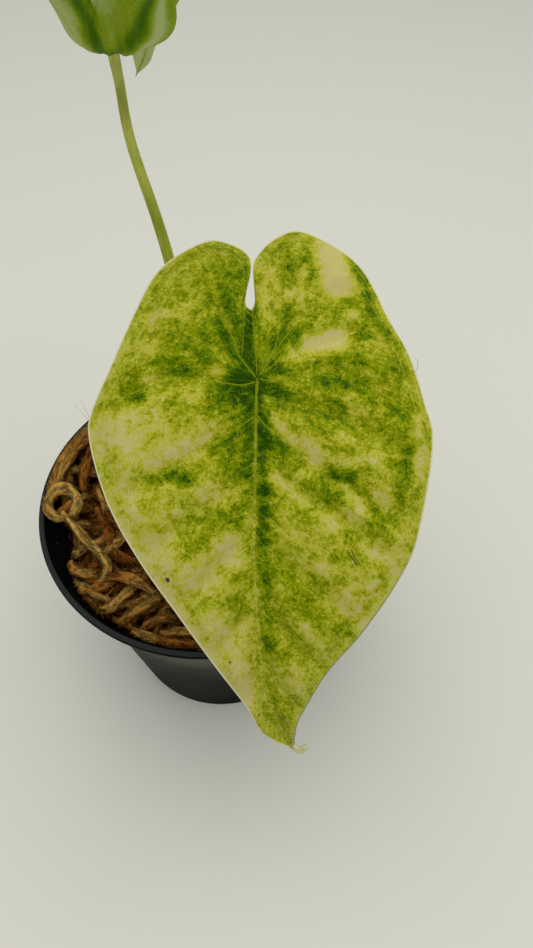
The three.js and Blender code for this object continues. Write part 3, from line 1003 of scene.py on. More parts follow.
@dataclass(frozen=True)
class BladePlan:
    """The flat blade that both leaves share: its outline, midrib and veins."""

    rays: tuple[Ray, ...] = (
        Ray(0, (-0.85, 10.2, -0.4, 5), (-0.85, 10.2, -0.4, 5)),
        Ray(0, (-1.75, 11.3, -1.45, 5.9), (-0.35, 11.5, -0.1, 5.8)),
        Ray(0, (-0.95, 16.5, -2.6, 9.2), (-0.65, 16.6, 0.5, 8.5)),
        Ray(0, (-1.5, 19.55, -3.4, 10.4), (0.05, 19.5, 1.4, 9.8)),
        Ray(0, (-3.9, 21.45, -4.2, 11), (2.55, 22.45, 3, 10.5)),
        Ray(0, (-7.85, 21.4, -5.2, 10.6), (6.9, 23.15, 4.4, 11.2)),
        Ray(0, (-14.15, 16.45, -6.9, 9), (14.5, 17.5, 6.8, 10.2)),
        Ray(0, (-17.85, 9.35, -7.9, 6.6), (18.85, 9.05, 9.6, 8.8)),
        Ray(0, (-21.15, 2.5, -9.6, 3.6), (22.25, 3.7, 10.6, 4.6)),
        Ray(0.3, (-24.2, -4.2, -11.6, -0.2), (24.65, -3.5, 11.8, 1.6)),
        Ray(2.1, (-24.25, -8.6, -11.7, -4.2), (25.5, -9.1, 12.3, -5.9)),
        Ray(5.1, (-21.25, -17.95, -10.5, -11.8), (23.25, -22.55, 11.2, -14.5)),
        Ray(13.4, (-16.85, -26.2, -8.1, -19.1), (20.6, -29, 10.9, -19.4)),
        Ray(22.5, (-11.85, -33.85, -5.8, -27.3), (15.45, -36.95, 7.3, -28.9)),
        Ray(33, (-6.7, -42.05, -3.3, -36.7), (10.15, -43.95, 4.9, -38.1)),
        Ray(43.5, (-1.8, -50.3, -0.7, -46.3), (6.6, -52.15, 3.5, -47.5)),
        Ray(51, (0.65, -55.75, 1.2, -53.0), (5.8, -56.7, 3.6, -53.8)),
        Ray(60, (5.6, -60, 5.6, -60), (5.6, -60, 5.6, -60)),
    )
    midrib: tuple[Pair, ...] = (
        (0, 0), (-0.2, -6), (-0.35, -17), (-0.5, -26), (0.1, -37), (0.6, -43), (1.8, -50.7), (5.6, -60)
    )
    tip_y: float = -60
    veins: tuple[Vein, ...] = (
        Vein(0.24, 0.16, ((-0.7, 10), (-0.4, 6), (-0.1, 2), (0, 0))),
        Vein(0.30, 0.14, ((0, -0.2), (-2.4, 3), (-3.4, 5.5), (-4.4, 8.1), (-6.7, 10.8),
            (-8.5, 12.5), (-12.2, 14.6))),
        Vein(0.14, 0.12, ((-12.2, 14.6), (-14, 13), (-15.1, 11.6), (-15.7, 9.2), (-16.4, 7.3),
            (-18.1, 4.1), (-20.4, -1.4))),
        Vein(0.12, 0.08, ((-2.2, 3), (-2, 5.5), (-1.9, 8.7), (-1.8, 10.6))),
        Vein(0.32, 0.12, ((-0.3, -0.5), (-2.2, -1), (-4.5, -0.7), (-7.3, -0.2), (-10.8, 0.1),
            (-12.9, 0), (-14.3, -0.7), (-16.3, -1.5), (-18.2, -2.3), (-21, -3.6))),
        Vein(0.26, 0.12, ((-0.2, -5.1), (-1.3, -6), (-4.7, -8.1), (-8.6, -10.8), (-12.3, -12.8),
            (-14.1, -13.9), (-18.5, -16.4))),
        Vein(0.26, 0.12, ((0, 0), (2.1, 3.3), (3.1, 7.5), (3.1, 11.5), (3, 17), (2.9, 20))),
        Vein(0.34, 0.15, ((0.3, 0.4), (2.6, 4), (4.9, 7.2), (5.8, 8.4), (8.1, 10.5), (10.7, 11.9),
            (14.1, 12.1))),
        Vein(0.15, 0.12, ((14.1, 12.1), (15.6, 9.4), (16.7, 7), (18.1, 4.8), (20.2, 2), (21.8, -2))),
        Vein(0.14, 0.08, ((8.1, 10.5), (8, 13.7), (8.5, 16.2), (9.8, 18.6))),
        Vein(0.24, 0.08, ((0.4, 0.5), (3.9, 2.8), (8.5, 4.7), (13, 6))),
        Vein(0.26, 0.12, ((0.4, -0.1), (2.5, -0.4), (6, 0.2), (8.8, 0.8), (11.6, 0.5),
            (14.4, -0.3), (18.7, -2.7), (22.4, -5.2))),
        Vein(0.22, 0.10, ((0, -2.3), (3.2, -3.5), (7.4, -4.2), (12.3, -5.9), (18, -8.8),
            (22, -11.6))),
        Vein(0.28, 0.12, ((0, -5.2), (1.1, -6.5), (2.5, -7.7), (4.6, -9.3), (8.8, -13.1),
            (16.1, -17.5), (20.6, -20.4))),
        Vein(0.24, 0.10, ((-0.3, -13.4), (0.8, -14), (3.2, -14.2), (6.1, -16.3), (8.9, -17.7),
            (12.4, -20.1), (17.6, -24.8))),
        Vein(0.18, 0.08, ((0.4, 1), (1.5, 5), (1.6, 9.8), (0.9, 15))),
        Vein(0.18, 0.08, ((3.1, 8), (4.6, 12), (5.6, 17), (6.2, 20))),
    )
    # The rays that have a side vein along them, on each side
    ray_veins: tuple[tuple[Side, tuple[int, ...]], ...] = (
        (Side.LEFT, (12, 13, 14, 15)),
        (Side.RIGHT, (13, 14, 15)),
    )
    ray_vein_width: Pair = (0.18, 0.08)
    ray_vein_reach: float = 0.88
    midrib_width: Pair = (0.85, 0.20)

    def middle(self, y: Array) -> Array:
        """The midrib's x at heights below the joint."""
        fine = through(np.array(self.midrib, float), np.linspace(0, len(self.midrib) - 1, 400))
        return np.interp(-y, -fine[:, 1], fine[:, 0])

    def rows(self, side: Side) -> Array:
        """The rays of one side: end x, end y, half-way x, half-way y, along."""
        ends = [ray.left if side is Side.LEFT else ray.right for ray in self.rays]
        return np.array([(*end, ray.along) for end, ray in zip(ends, self.rays)], float)

    def ray_points(self, side: Side, station: Array, share: Array) -> Array:
        """Points of rays on the flat blade.

        Args:
            side: the half of the blade.
            station: the place along the margin, in rays.
            share: the share of the way from the midrib to the margin.

        Returns:
            x and y of each point.
        """
        rows = through(self.rows(side), station)
        start_y = -np.clip(rows[..., 4], 0, -self.tip_y)
        start = np.stack([self.middle(start_y), start_y], axis=-1)
        end = rows[..., 0:2]
        control = 2 * rows[..., 2:4] - (start + end) / 2
        part = share[..., None]
        return (1 - part) ** 2 * start + 2 * part * (1 - part) * control + part**2 * end

    def vein_lines(self) -> list[tuple[Array, float, float]]:
        """Every vein as a fine line, with its width at both ends, the midrib first."""
        lines = [(smooth_path(self.midrib, 150), *self.midrib_width)]
        for vein in self.veins:
            steps = 12 * len(vein.path)
            lines.append((smooth_path(vein.path, steps), vein.start_width, vein.end_width))
        share = np.linspace(0, self.ray_vein_reach, 40)
        for side, numbers in self.ray_veins:
            for number in numbers:
                line = self.ray_points(side, np.full(len(share), float(number)), share)
                lines.append((line, *self.ray_vein_width))
        return lines


@dataclass(frozen=True)
class LeafForm:
    """How a leaf grows and how its blade is bent.

    Attributes:
        joint: where its stalk meets it.
        heading: the way that it points, in degrees.
        tilt: its tilt from level, in degrees.
        size: its size as a share of the flat plan.
        towards_tip: the bend of the midrib, in pairs of length and angle.
        lobes: the bend between the lobes.
        sides: the bend across the blade.
        sides_at_tip: the bend across the blade near its tip.
        tip_from: where the blade starts to take on the bend of its tip.
        tip_to: where it has it.
        wave: how far the margin waves.
        wave_turns: how many waves it has.
        margin_roll: how far the margin rolls under.
        left_sides: the bend across the left side, where it is another.
        left_sides_at_tip: the same near the tip.
        nearby: how far apart the points are that give the sheet's slope.
    """

    joint: Triple
    heading: float
    tilt: float
    size: float
    towards_tip: Bend
    lobes: Bend
    sides: Bend
    sides_at_tip: Bend
    tip_from: float
    tip_to: float
    wave: float
    wave_turns: float
    margin_roll: float
    left_sides: Bend | None = None
    left_sides_at_tip: Bend | None = None
    nearby: float = 0.3

    @staticmethod
    def bent(bend: Bend, length: Array) -> tuple[Array, Array, Array]:
        """Where a bent line is after a length.

        Args:
            bend: pairs of length and angle. The line turns evenly between them.
            length: the lengths asked for.

        Returns:
            Its direction there, how far it reaches along, and how far up.
        """
        direction = np.radians(bend[0][1]) + 0 * length
        reach = 0 * length
        rise = 0 * length
        for (low, first), (high, last) in zip(bend, bend[1:]):
            start = np.radians(first)
            rate = np.radians(np.asarray(last) - first) / (np.asarray(high) - low)
            rate = np.where(np.abs(rate) < 1e-9, 1e-9, rate)
            now = start + rate * np.clip(length - low, 0, np.asarray(high) - low)
            reach = reach + (np.sin(now) - np.sin(start)) / rate
            rise = rise + (np.cos(start) - np.cos(now)) / rate
            direction = np.where(length > low, now, direction)
        straight = np.maximum(0, length - bend[-1][0])
        reach = reach + straight * np.cos(direction)
        return direction, reach, rise + straight * np.sin(direction)

    @staticmethod
    def between(first: Bend, second: Bend, share: Array) -> Bend:
        """A bend part of the way from one to another."""
        return [
            (a + (c - a) * share, b + (d - b) * share) for (a, b), (c, d) in zip(first, second)
        ]

    def shaped(self, plan: BladePlan, x: Array, y: Array) -> Array:
        """Points of the flat outline, bent: x across, y towards the lobes, z up."""
        away = np.maximum(np.hypot(x, y), 1e-9)
        round_lobe = smoothstep(np.arctan2(y, np.abs(x)), 0, math.pi / 2)
        left_sides = self.left_sides or self.sides
        sides = self.between(self.sides, left_sides, smoothstep(-x / away, 0, 0.8))
        _, reach, rise = self.bent(self.between(sides, self.lobes, round_lobe), away)
        bowl = np.stack([reach * x / away, reach * y / away, rise], axis=-1)
        middle = plan.middle(np.minimum(y, 0))
        down, along, drop = self.bent(self.towards_tip, np.maximum(-y, 0))
        near_tip = smoothstep(-y, self.tip_from, self.tip_to)
        left = np.where(x < middle, 1.0, 0.0)
        sides = self.between(self.sides, left_sides, left)
        left_tip = self.left_sides_at_tip or self.sides_at_tip
        bend = self.between(sides, self.between(self.sides_at_tip, left_tip, left), near_tip)
        _, wide, high = self.bent(bend, np.abs(x - middle))
        wing = np.stack(
            [
                middle + wide * np.where(x < middle, -1, 1),
                high * np.sin(down) - along,
                high * np.cos(down) + drop,
            ],
            axis=-1,
        )
        return np.where((y > 0)[..., None], bowl, wing)

    def placed(self, plan: BladePlan, flat: Array, lift: Array | float) -> Array:
        """Points of the flat blade on the leaf as it grows.

        Args:
            plan: the flat blade.
            flat: x and y of each point.
            lift: how far each is lifted off the sheet's middle.

        Returns:
            The points in the row frame.
        """
        x = flat[..., 0] * self.size
        y = flat[..., 1] * self.size
        near = self.nearby
        point = self.shaped(plan, x, y)
        across = self.shaped(plan, x + near, y) - self.shaped(plan, x - near, y)
        along = self.shaped(plan, x, y + near) - self.shaped(plan, x, y - near)
        point = point + unit(np.cross(across, along)) * np.asarray(lift)[..., None]
        turn = Matrix.Rotation(math.radians(self.heading), 3, "Z")
        turn = turn @ Matrix.Rotation(math.radians(self.tilt), 3, "X")
        return point @ np.array(turn).T + np.array(self.joint)


@dataclass
class Blade:
    """One blade: a thin puffed sheet with its raised veins."""

    node: str
    form: LeafForm
    patches: tuple[Patch, ...]
    finish: LeafFinish
    plan: BladePlan = field(default_factory=BladePlan)
    stations_per_ray: int = 11
    ray_steps: int = 60
    step_power: float = 1.15
    half_thickness: float = 0.26
    edge_thickness: float = 0.14
    midrib_depth: float = 0.85
    midrib_reach: float = 1.6
    quilt: float = 0.8
    quilt_reach: float = 3.0
    puffs_from: Pair = (0.05, 0.35)
    puffs_to: Pair = (0.8, 1)
    roll_from: float = 0.82
    groove: float = 0.10
    groove_reach: float = 0.45
    rib: float = 0.16
    rib_reach: float = 0.35
    full_vein: float = 0.3
    vein_reach: float = 0.6
    vein_most: float = 0.9
    vein_rise: float = 0.35
    vein_round: float = 1.1
    vein_sides: int = 6
    tabs: tuple[Vein, ...] = ()
    marks: tuple[Vein, ...] = ()
    tone_range: Pair = (-1.25, 1.2)
    tone_edge: float = -0.4
    edge_reach: float = 1.2
    lane_at: float = 0.55
    groove_to: float = 0.9
    extra_steps: int = 14

    LAYOUT = {"flat": 3, "ray": 3, "tone": 1, "edge": 1, "vein": 1}

    def tone(self, flat: Array) -> Array:
        """How green the listed patches make each point."""
        total = np.zeros(len(flat))
        for patch in self.patches:
            away, _ = distance_to_path(flat, np.array(patch.path, float))
            total += patch.amount * np.exp(-((away / patch.reach) ** 2))
        return np.clip(total, *self.tone_range)

    def sheet(self, side: Side) -> dict[str, Array]:
        """The grid of one half: places, lifts and values, row by row from notch to tip."""
        last = len(self.plan.rays) - 1
        stations = np.linspace(0, last, last * self.stations_per_ray + 1)
        shares = np.linspace(0, 1, self.ray_steps + 1) ** self.step_power
        station, share = np.meshgrid(stations, shares, indexing="ij")
        flat = self.plan.ray_points(side, station, share)
        start, end = flat[:, :1], flat[:, -1:]
        length = np.linalg.norm(end - start, axis=-1)
        body = 1 - smoothstep(-flat[..., 1], 0, -self.plan.tip_y)
        turns = station / last * self.form.wave_turns * 2 * math.pi
        wave = self.form.wave * share**3 * body * np.sin(turns)
        roll = self.form.margin_roll * smoothstep(share, self.roll_from, 1) * body
        points = flat.reshape(-1, 2)
        near = np.full(len(points), np.inf)
        strength = np.zeros(len(points))
        for line, wide, narrow in self.plan.vein_lines():
            away, along = distance_to_path(points, line)
            width = wide + (narrow - wide) * along
            closer = away < near
            near = np.where(closer, away, near)
            strength = np.where(closer, width / self.full_vein, strength)
        near = near.reshape(share.shape)
        strength = strength.reshape(share.shape)
        inside = smoothstep(share, *self.puffs_from) * (1 - smoothstep(share, *self.puffs_to))
        puff = self.quilt * inside * (smoothstep(near, 0, self.quilt_reach) - 0.5)
        groove = self.groove * strength * np.exp(-((near / self.groove_reach) ** 2))
        rib = self.rib * strength * np.exp(-((near / self.rib_reach) ** 2))
        midrib = self.midrib_depth * body * np.maximum(0, 1 - share * length / self.midrib_reach)
        half = self.half_thickness + (self.edge_thickness - self.half_thickness) * share**4
        middle = wave - roll + puff
        halfway = self.plan.ray_points(side, stations, np.full(len(stations), self.lane_at))
        steps = np.linalg.norm(np.diff(halfway, axis=0), axis=1)
        lane = np.concatenate(([0], np.cumsum(steps)))[:, None]
        return {
            "flat": flat,
            "lane": lane + 0 * share,
            "share": share,
            "length": length + 0 * share,
            "top": middle + half - groove * (1 - smoothstep(share, self.groove_to, 1)),
            "bottom": middle - half - np.maximum(midrib, rib * (1 - share)),
            "middle": middle,
            "half": half,
            "vein": np.minimum(strength, self.vein_most) * np.exp(-((near / self.vein_reach) ** 2)),
        }

    def build(self, effects: Effects) -> Piece:
        """Makes the blade and lets it stand for its node."""
        skin = Skin(self.LAYOUT)
        halves = {side: self.sheet(side) for side in Side}
        tree = kdtree.KDTree(sum(half["share"].size for half in halves.values()))
        lifts = []
        for side, half in halves.items():
            self._add_sheet(skin, side, half)
            for place, top, bottom in zip(
                half["flat"].reshape(-1, 2), half["top"].ravel(), half["bottom"].ravel()
            ):
                tree.insert((*place, 0), len(lifts))
                lifts.append((top, bottom))
        tree.balance()
        self._add_lines(skin, tree, np.array(lifts), self.plan.vein_lines(), (0, 1), 1)
        for extras, slot, edge in ((self.tabs, 0, 0.1), (self.marks, 2, 5.0)):
            lines = [
                (smooth_path(row.path, self.extra_steps), row.start_width, row.end_width)
                for row in extras
            ]
            self._add_lines(skin, tree, np.array(lifts), lines, (0,), slot, edge)
        mesh = skin.mesh(self.node + "_sheet", weld=0.004)
        leaf = self.finish.make(effects)
        vein = VeinFinish(self.node + "_veins", self.finish.own).make(effects)
        mark = MarkFinish(self.node + "_marks").make(effects)
        piece = show(self.node + "_leaf", mesh, [leaf, vein, mark])
        stand_for(piece, self.node)
        return piece

    def _add_sheet(self, skin: Skin, side: Side, half: dict[str, Array]) -> None:
        """Adds one half as a closed sheet with a rounded margin."""
        flat = half["flat"]
        out = unit(flat[:, -1] - flat[:, -3], 1e-6)
        rim_half = half["half"][:, -1]
        rim_middle = half["middle"][:, -1]
        rows = [(flat, half["top"], 0.0)]
        for turn in (math.pi / 4, 0.0, -math.pi / 4):
            place = flat[:, -1] + out * (rim_half * math.cos(turn))[:, None]
            lift = rim_middle + rim_half * math.sin(turn)
            rows.append((place[:, None], lift[:, None], 0.5 - 0.5 * math.sin(turn)))
        rows.append((flat[:, ::-1], half["bottom"][:, ::-1], 1.0))
        points, flats, rays, edges, veins = [], [], [], [], []
        for place, lift, below in rows:
            points.append(self.form.placed(self.plan, place, lift))
            flats.append(np.concatenate([place, np.full((*lift.shape, 1), below)], axis=2))
            wide = lift.shape[1]
            order = slice(None) if below == 0.0 else slice(None, None, -1)
            share, vein = (half[name][:, order][:, :wide] for name in ("share", "vein"))
            along = share * half["length"][:, :wide]
            marks = np.full(share.shape, float(side.value))
            rays.append(np.stack([half["lane"][:, :wide], along, marks], axis=2))
            edges.append((1 - share) * half["length"][:, :wide])
            veins.append(vein * (1.0 if below in (0.0, 1.0) else 0.0))
        grid = np.concatenate(points, axis=1)
        faces = grid_faces(grid.shape[0], grid.shape[1])
        if side is Side.RIGHT:
            faces = faces[:, ::-1]
        flat_values = np.concatenate(flats, axis=1).reshape(-1, 3)
        edge = np.concatenate(edges, axis=1).ravel()
        near_edge = np.exp(-((edge / self.edge_reach) ** 2))
        tone = self.tone(flat_values[:, :2]) + self.tone_edge * near_edge
        skin.add(
            grid.reshape(-1, 3),
            [faces],
            flat=flat_values,
            ray=np.concatenate(rays, axis=1).reshape(-1, 3),
            tone=tone,
            edge=edge,
            vein=np.concatenate(veins, axis=1).ravel(),
        )

    def _add_lines(
        self,
        skin: Skin,
        tree: kdtree.KDTree,
        lifts: Array,
        lines: Sequence[tuple[Array, float, float]],
        surfaces: Sequence[int],
        slot: int,
        edge: float = 5.0,
    ) -> None:
        """Adds thin half-sunk lines.

        Args:
            skin: the mesh that they join.
            tree: finds the nearest point of the sheet on the flat plan.
            lifts: the height of the upper and the lower surface at each of those points.
            lines: each line with its width at both ends.
            surfaces: where they lie: 0 is above, 1 is below.
            slot: the number of their material.
            edge: how far inside the margin their finish takes them to be.
        """
        for line, wide, narrow in lines:
            nearest = [tree.find((*place, 0))[1] for place in line]
            along = np.linspace(0, 1, len(line))
            radii = (wide + (narrow - wide) * along) / 2 * self.vein_round
            for surface in surfaces:
                sign = 1 - 2 * surface
                lift = lifts[nearest, surface]
                lift = np.convolve(np.pad(lift, 2, mode="edge"), np.ones(5) / 5, mode="valid")
                lift = lift - sign * radii * (1 - self.vein_rise)
                middle = self.form.placed(self.plan, line, lift)
                above = self.form.placed(self.plan, line, lift + 1.0) - middle
                tube = Tube.of(middle, radii, self.vein_sides, tuple(above.mean(axis=0)))
                flat = np.repeat(line, self.vein_sides, axis=0)
                flat = np.concatenate([flat, line[:1], line[-1:]])
                values = np.concatenate([flat, np.full((len(flat), 1), float(surface))], axis=1)
                skin.add(
                    tube.points,
                    tube.faces,
                    slot=slot,
                    flat=values,
                    ray=np.concatenate([flat, np.zeros((len(flat), 1))], axis=1),
                    tone=self.tone(flat),
                    edge=edge,
                )


@dataclass
class Stalk:
    """One leaf stalk: a smooth tapering tube that runs into the blade's midrib."""

    node: str
    form: LeafForm
    points: tuple[Triple, ...]
    base_radius: float
    top_radius: float
    plan: BladePlan = field(default_factory=BladePlan)
    under: float = 0.95
    arrival: float = 5.0
    steps: int = 120
    sides: int = 28
    ridges: float = 0.02
    ridge_count: int = 9
    flare: float = 0.22
    flare_reach: float = 0.04
    end_share: float = 0.8

    LAYOUT = {"strand": 3, "share": 1}

    def path(self) -> Array:
        """The middle of the stalk, from its foot to the blade."""
        origin = np.zeros(2)
        arrival = self.form.placed(self.plan, origin, -self.under - self.arrival)
        top = self.form.placed(self.plan, origin, -self.under)
        return smooth_path([*self.points, arrival, top], self.steps)

    def build(self, effects: Effects) -> Piece:
        """Makes the stalk and lets it stand for its node."""
        path = self.path()
        share = np.linspace(0, 1, len(path))
        radii = self.base_radius + (self.top_radius - self.base_radius) * share
        radii = radii * (1 + self.flare * np.exp(-(((1 - share) / self.flare_reach) ** 2)))
        radii[-1] *= self.end_share
        tube = Tube.of(path, radii, self.sides, (1.0, 0.0, 0.0), self.ridges, self.ridge_count)
        skin = Skin(self.LAYOUT)
        skin.add(
            tube.points,
            tube.faces,
            strand=tube.strand(self.base_radius),
            share=tube.along / tube.along.max(),
        )
        finish = StalkFinish(self.node + "_skin").make(effects)
        piece = show(self.node + "_stem", skin.mesh(self.node + "_stem"), [finish])
        stand_for(piece, self.node)
        return piece


# Pot, moss and crown


@dataclass
class Pot:
    """The thin black nursery pot, turned, flared under its lip, with drainage holes."""

    node: str = "pot"
    height: float = 66
    rim_radius: float = 38
    base_radius: float = 25.9
    base_bevel: float = 0.6
    base_ring: float = 6
    top_radius: float = 34.5
    wall: float = 0.6
    floor: float = 1.6
    lip_height: float = 1.3
    lip_width: float = 1.25
    lip_round: float = 0.4
    lip_inner_round: float = 0.3
    flare_from: float = 55.0
    flare: float = 2.85
    collar_height: float = 10.5
    collar_step: float = 0.25
    collar_slope: float = 0.4
    collar_ease: float = 0.05
    inner_drop: float = 0.35
    floor_bevel: float = 1
    sharp_from: float = 50
    sides: int = 192
    arc_steps: int = 5
    holes: int = 6
    hole_radius: float = 3
    hole_circle: float = 17
    hole_sides: int = 40

    LAYOUT = {"strand": 3}

    @property
    def collar_bottom(self) -> float:
        """The height where the collar starts."""
        return self.height - self.collar_height

    def outer_radius(self, z: Array | float) -> Array | float:
        """The radius of the plain tapered wall at a height."""
        return self.base_radius + (self.top_radius - self.base_radius) * z / self.height

    def inner_radius(self, z: Array | float) -> Array:
        """The inner radius at a height."""
        flare = self.flare * smoothstep(np.asarray(z, float), self.flare_from, self.height)
        return self.outer_radius(z) - self.wall + flare

    def arc(self, centre: Pair, radius: float, start: float, end: float) -> list[Pair]:
        """Points of an arc in the outline, its angles in degrees from outwards."""
        turns = np.radians(np.linspace(start, end, self.arc_steps + 1))
        return [
            (centre[0] + radius * math.cos(turn), centre[1] + radius * math.sin(turn))
            for turn in turns
        ]

    def outline(self) -> list[Pair]:
        """The outline of the wall, from the middle of its base round to the inner floor."""
        bevel = self.base_bevel
        top = self.height
        lip_bottom = top - self.lip_height
        collar = self.collar_bottom
        step = self.collar_step
        slope = collar - step - self.collar_slope
        out = self.rim_radius - self.lip_round
        inner = self.rim_radius - self.lip_width
        soft = self.lip_inner_round
        above_floor = self.floor + self.floor_bevel
        under = np.linspace(self.flare_from + 1, lip_bottom, self.arc_steps)
        inside = np.linspace(top - self.inner_drop, self.flare_from, 2 * self.arc_steps)
        return [
            (0, 0),
            (self.base_radius - self.base_ring, 0),
            *self.arc((self.base_radius - bevel, bevel), bevel, -90, 0),
            (float(self.outer_radius(collar - step)) - self.collar_ease, slope),
            (float(self.outer_radius(collar - step)), collar - step),
            (float(self.outer_radius(collar)) + step, collar),
            *((float(self.inner_radius(z)) + self.wall + step, z) for z in under),
            *self.arc((out, lip_bottom + self.lip_round), self.lip_round, -90, 0),
            *self.arc((out, top - self.lip_round), self.lip_round, 0, 90),
            *self.arc((inner + soft, top - soft), soft, 90, 160),
            *((float(self.inner_radius(z)), z) for z in inside),
            (float(self.inner_radius(above_floor)), above_floor),
            (float(self.inner_radius(self.floor)) - self.floor_bevel, self.floor),
            (0, self.floor),
        ]

    def build(self, effects: Effects) -> Piece:
        """Makes the pot and lets it stand for its node."""
        points, faces = turned(self.outline(), self.sides)
        skin = Skin(self.LAYOUT)
        skin.add(points, faces)
        finish = PlasticFinish("pot_plastic").make(effects)
        piece = show("pot_shell", skin.mesh("pot_shell", weld=0.01), [finish])
        cutters = [self._cutter(number) for number in range(self.holes)]
        for cutter in cutters:
            cut = piece.modifiers.new("hole", "BOOLEAN")
            cut.object = cutter
            cut.solver = "EXACT"
        bpy.context.view_layer.update()
        shaped = piece.evaluated_get(bpy.context.evaluated_depsgraph_get())
        mesh = bpy.data.meshes.new_from_object(shaped)
        piece.modifiers.clear()
        piece.data = mesh
        for cutter in cutters:
            bpy.data.objects.remove(cutter)
        mesh.shade_smooth()
        mesh.set_sharp_from_angle(angle=math.radians(self.sharp_from))
        stand_for(piece, self.node)
        return piece

    def _cutter(self, number: int) -> Piece:
        """A short post where a drainage hole is to be."""
        turn = 2 * math.pi * number / self.holes
        centre = np.array([math.cos(turn), math.sin(turn), 0]) * self.hole_circle
        path = np.array([centre - (0, 0, self.floor), centre + (0, 0, 2 * self.floor)])
        radii = np.full(2, self.hole_radius)
        post = Tube.of(path, radii, self.hole_sides, (1.0, 0.0, 0.0))
        skin = Skin(self.LAYOUT)
        skin.add(post.points, post.faces)
        return show("cutter", skin.mesh("cutter", weld=0.001), [])


@dataclass(frozen=True)
class StrandKind:
    """One kind of moss strand.

    Attributes:
        count: how many lie in the pot.
        depth: how far above the top of the bed they start, from least to most.
        radius: the least and the greatest radius.
        points: the least and the greatest count of points along it.
        step: the distance between two points.
        tint: the least and the greatest tint.
        wander: how sharply it turns, in radians a step.
        ridges: how deep its lengthwise ridges are.
        sides: how many sides it has.
    """

    count: int
    depth: Pair
    radius: Pair
    points: tuple[int, int]
    step: float
    tint: Pair
    wander: float
    ridges: float
    sides: int


@dataclass(frozen=True)
class LaidStrand:
    """A moss strand with a path of its own: its radius, tint, points and ridges."""

    radius: float
    tint: float
    path: tuple[Triple, ...]
    ridges: float = 0.22


LAID_STRANDS = (
    LaidStrand(1.7, 0.08, ((-31, -5.8, 65.8), (-33.4, -6.1, 66.4), (-35.1, -4.5, 66.9),
        (-35.5, -2.2, 67.2), (-34.4, 0.1, 67.4), (-32.2, 0.8, 67.5), (-30.2, -0.3, 67.3),
        (-29.3, -2.4, 67), (-29.6, -4.4, 66.5), (-30.8, -6, 65.8))),
    LaidStrand(1.3, 0.05, ((-32.4, -4.7, 66.6), (-29.2, -8.5, 66.8), (-25.8, -12.1, 66.4),
        (-22.7, -14.9, 66), (-21, -17.4, 65.2), (-21.5, -19.7, 64), (-23.1, -21.7, 62))),
    LaidStrand(1.2, 0.15, ((-16, -8.8, 66.5), (-17.9, -11.4, 66.7), (-20.3, -13.6, 66.4),
        (-22.5, -14.9, 65.6))),
    LaidStrand(1.5, 0.42, ((-35.6, -4.1, 65.2), (-35.6, 0.3, 66.4), (-35.3, 4.8, 66.8),
        (-34.4, 9.7, 66.8), (-32.6, 14.9, 66.6), (-30.2, 19.5, 66.2))),
    LaidStrand(1.6, 0.30, ((-35, -0.9, 65.5), (-34.4, 3.6, 67), (-33.1, 8.5, 67.6),
        (-31.2, 13.4, 67.6), (-29, 18, 67), (-26.9, 22.8, 65.8))),
    LaidStrand(1.5, 0.48, ((-34.5, 4.3, 66), (-32.9, 8.3, 67.9), (-31, 12, 68.4),
        (-29, 15.4, 68), (-27.4, 19.1, 66))),
    LaidStrand(1.6, 0.62, ((-29, 1.5, 65.6), (-28.8, 5.4, 67.6), (-28, 9.7, 68),
        (-27, 14.6, 67))),
    LaidStrand(1.6, 0.66, ((-25, -3.7, 66.5), (-21.6, -9.4, 66.8), (-19.9, -14.3, 65.8),
        (-16.9, -15.6, 64.5), (-13.2, -16.3, 63))),
    LaidStrand(1.5, 0.34, ((-26, -22.6, 60.5), (-23, -20.4, 62.6), (-18.6, -19.7, 64.4),
        (-13.8, -21.1, 64.4), (-10, -23.6, 62.5))),
    LaidStrand(1.4, 0.32, ((-34.2, -4.4, 64.4), (-32.4, -2.8, 65), (-30.6, -1, 65),
        (-28.2, 1, 64.4))),
    LaidStrand(1.6, 0.30, ((-30.4, -14, 60.6), (-28.4, -17.2, 62.8), (-25.4, -18.8, 64),
        (-22.6, -18.2, 63))),
    LaidStrand(1.5, 0.42, ((-27.8, -20.4, 61), (-24.8, -22.4, 63.6), (-21.4, -21.8, 64.2),
        (-19.2, -19.4, 62.4))),
    LaidStrand(1.6, 0.24, ((-22.8, -25.8, 60.8), (-19.6, -26.2, 63.4), (-16.8, -23.8, 64),
        (-15, -20.8, 62.6))),
    LaidStrand(1.4, 0.36, ((-17.9, -28.8, 61), (-14.8, -27.6, 63.4), (-11.6, -25.6, 63.8),
        (-9.4, -22.8, 62))),
    LaidStrand(1.3, 0.50, ((-13.4, -30, 60.2), (-10.2, -28.6, 62.4), (-6.6, -27.8, 61.8))),
)

# A few pale hairs of moss that stand over the rim: the radius and the points of each
WISPS = (
    (0.10, ((-29.5, 21.0, 66.0), (-31.2, 22.0, 68.0), (-32.3, 23.0, 69.4), (-33.4, 23.4, 70.2))),
    (0.08, ((-29.5, 21.0, 66.0), (-30.6, 22.6, 68.4), (-31.6, 24.2, 70.0), (-32.9, 25.0, 70.6))),
)


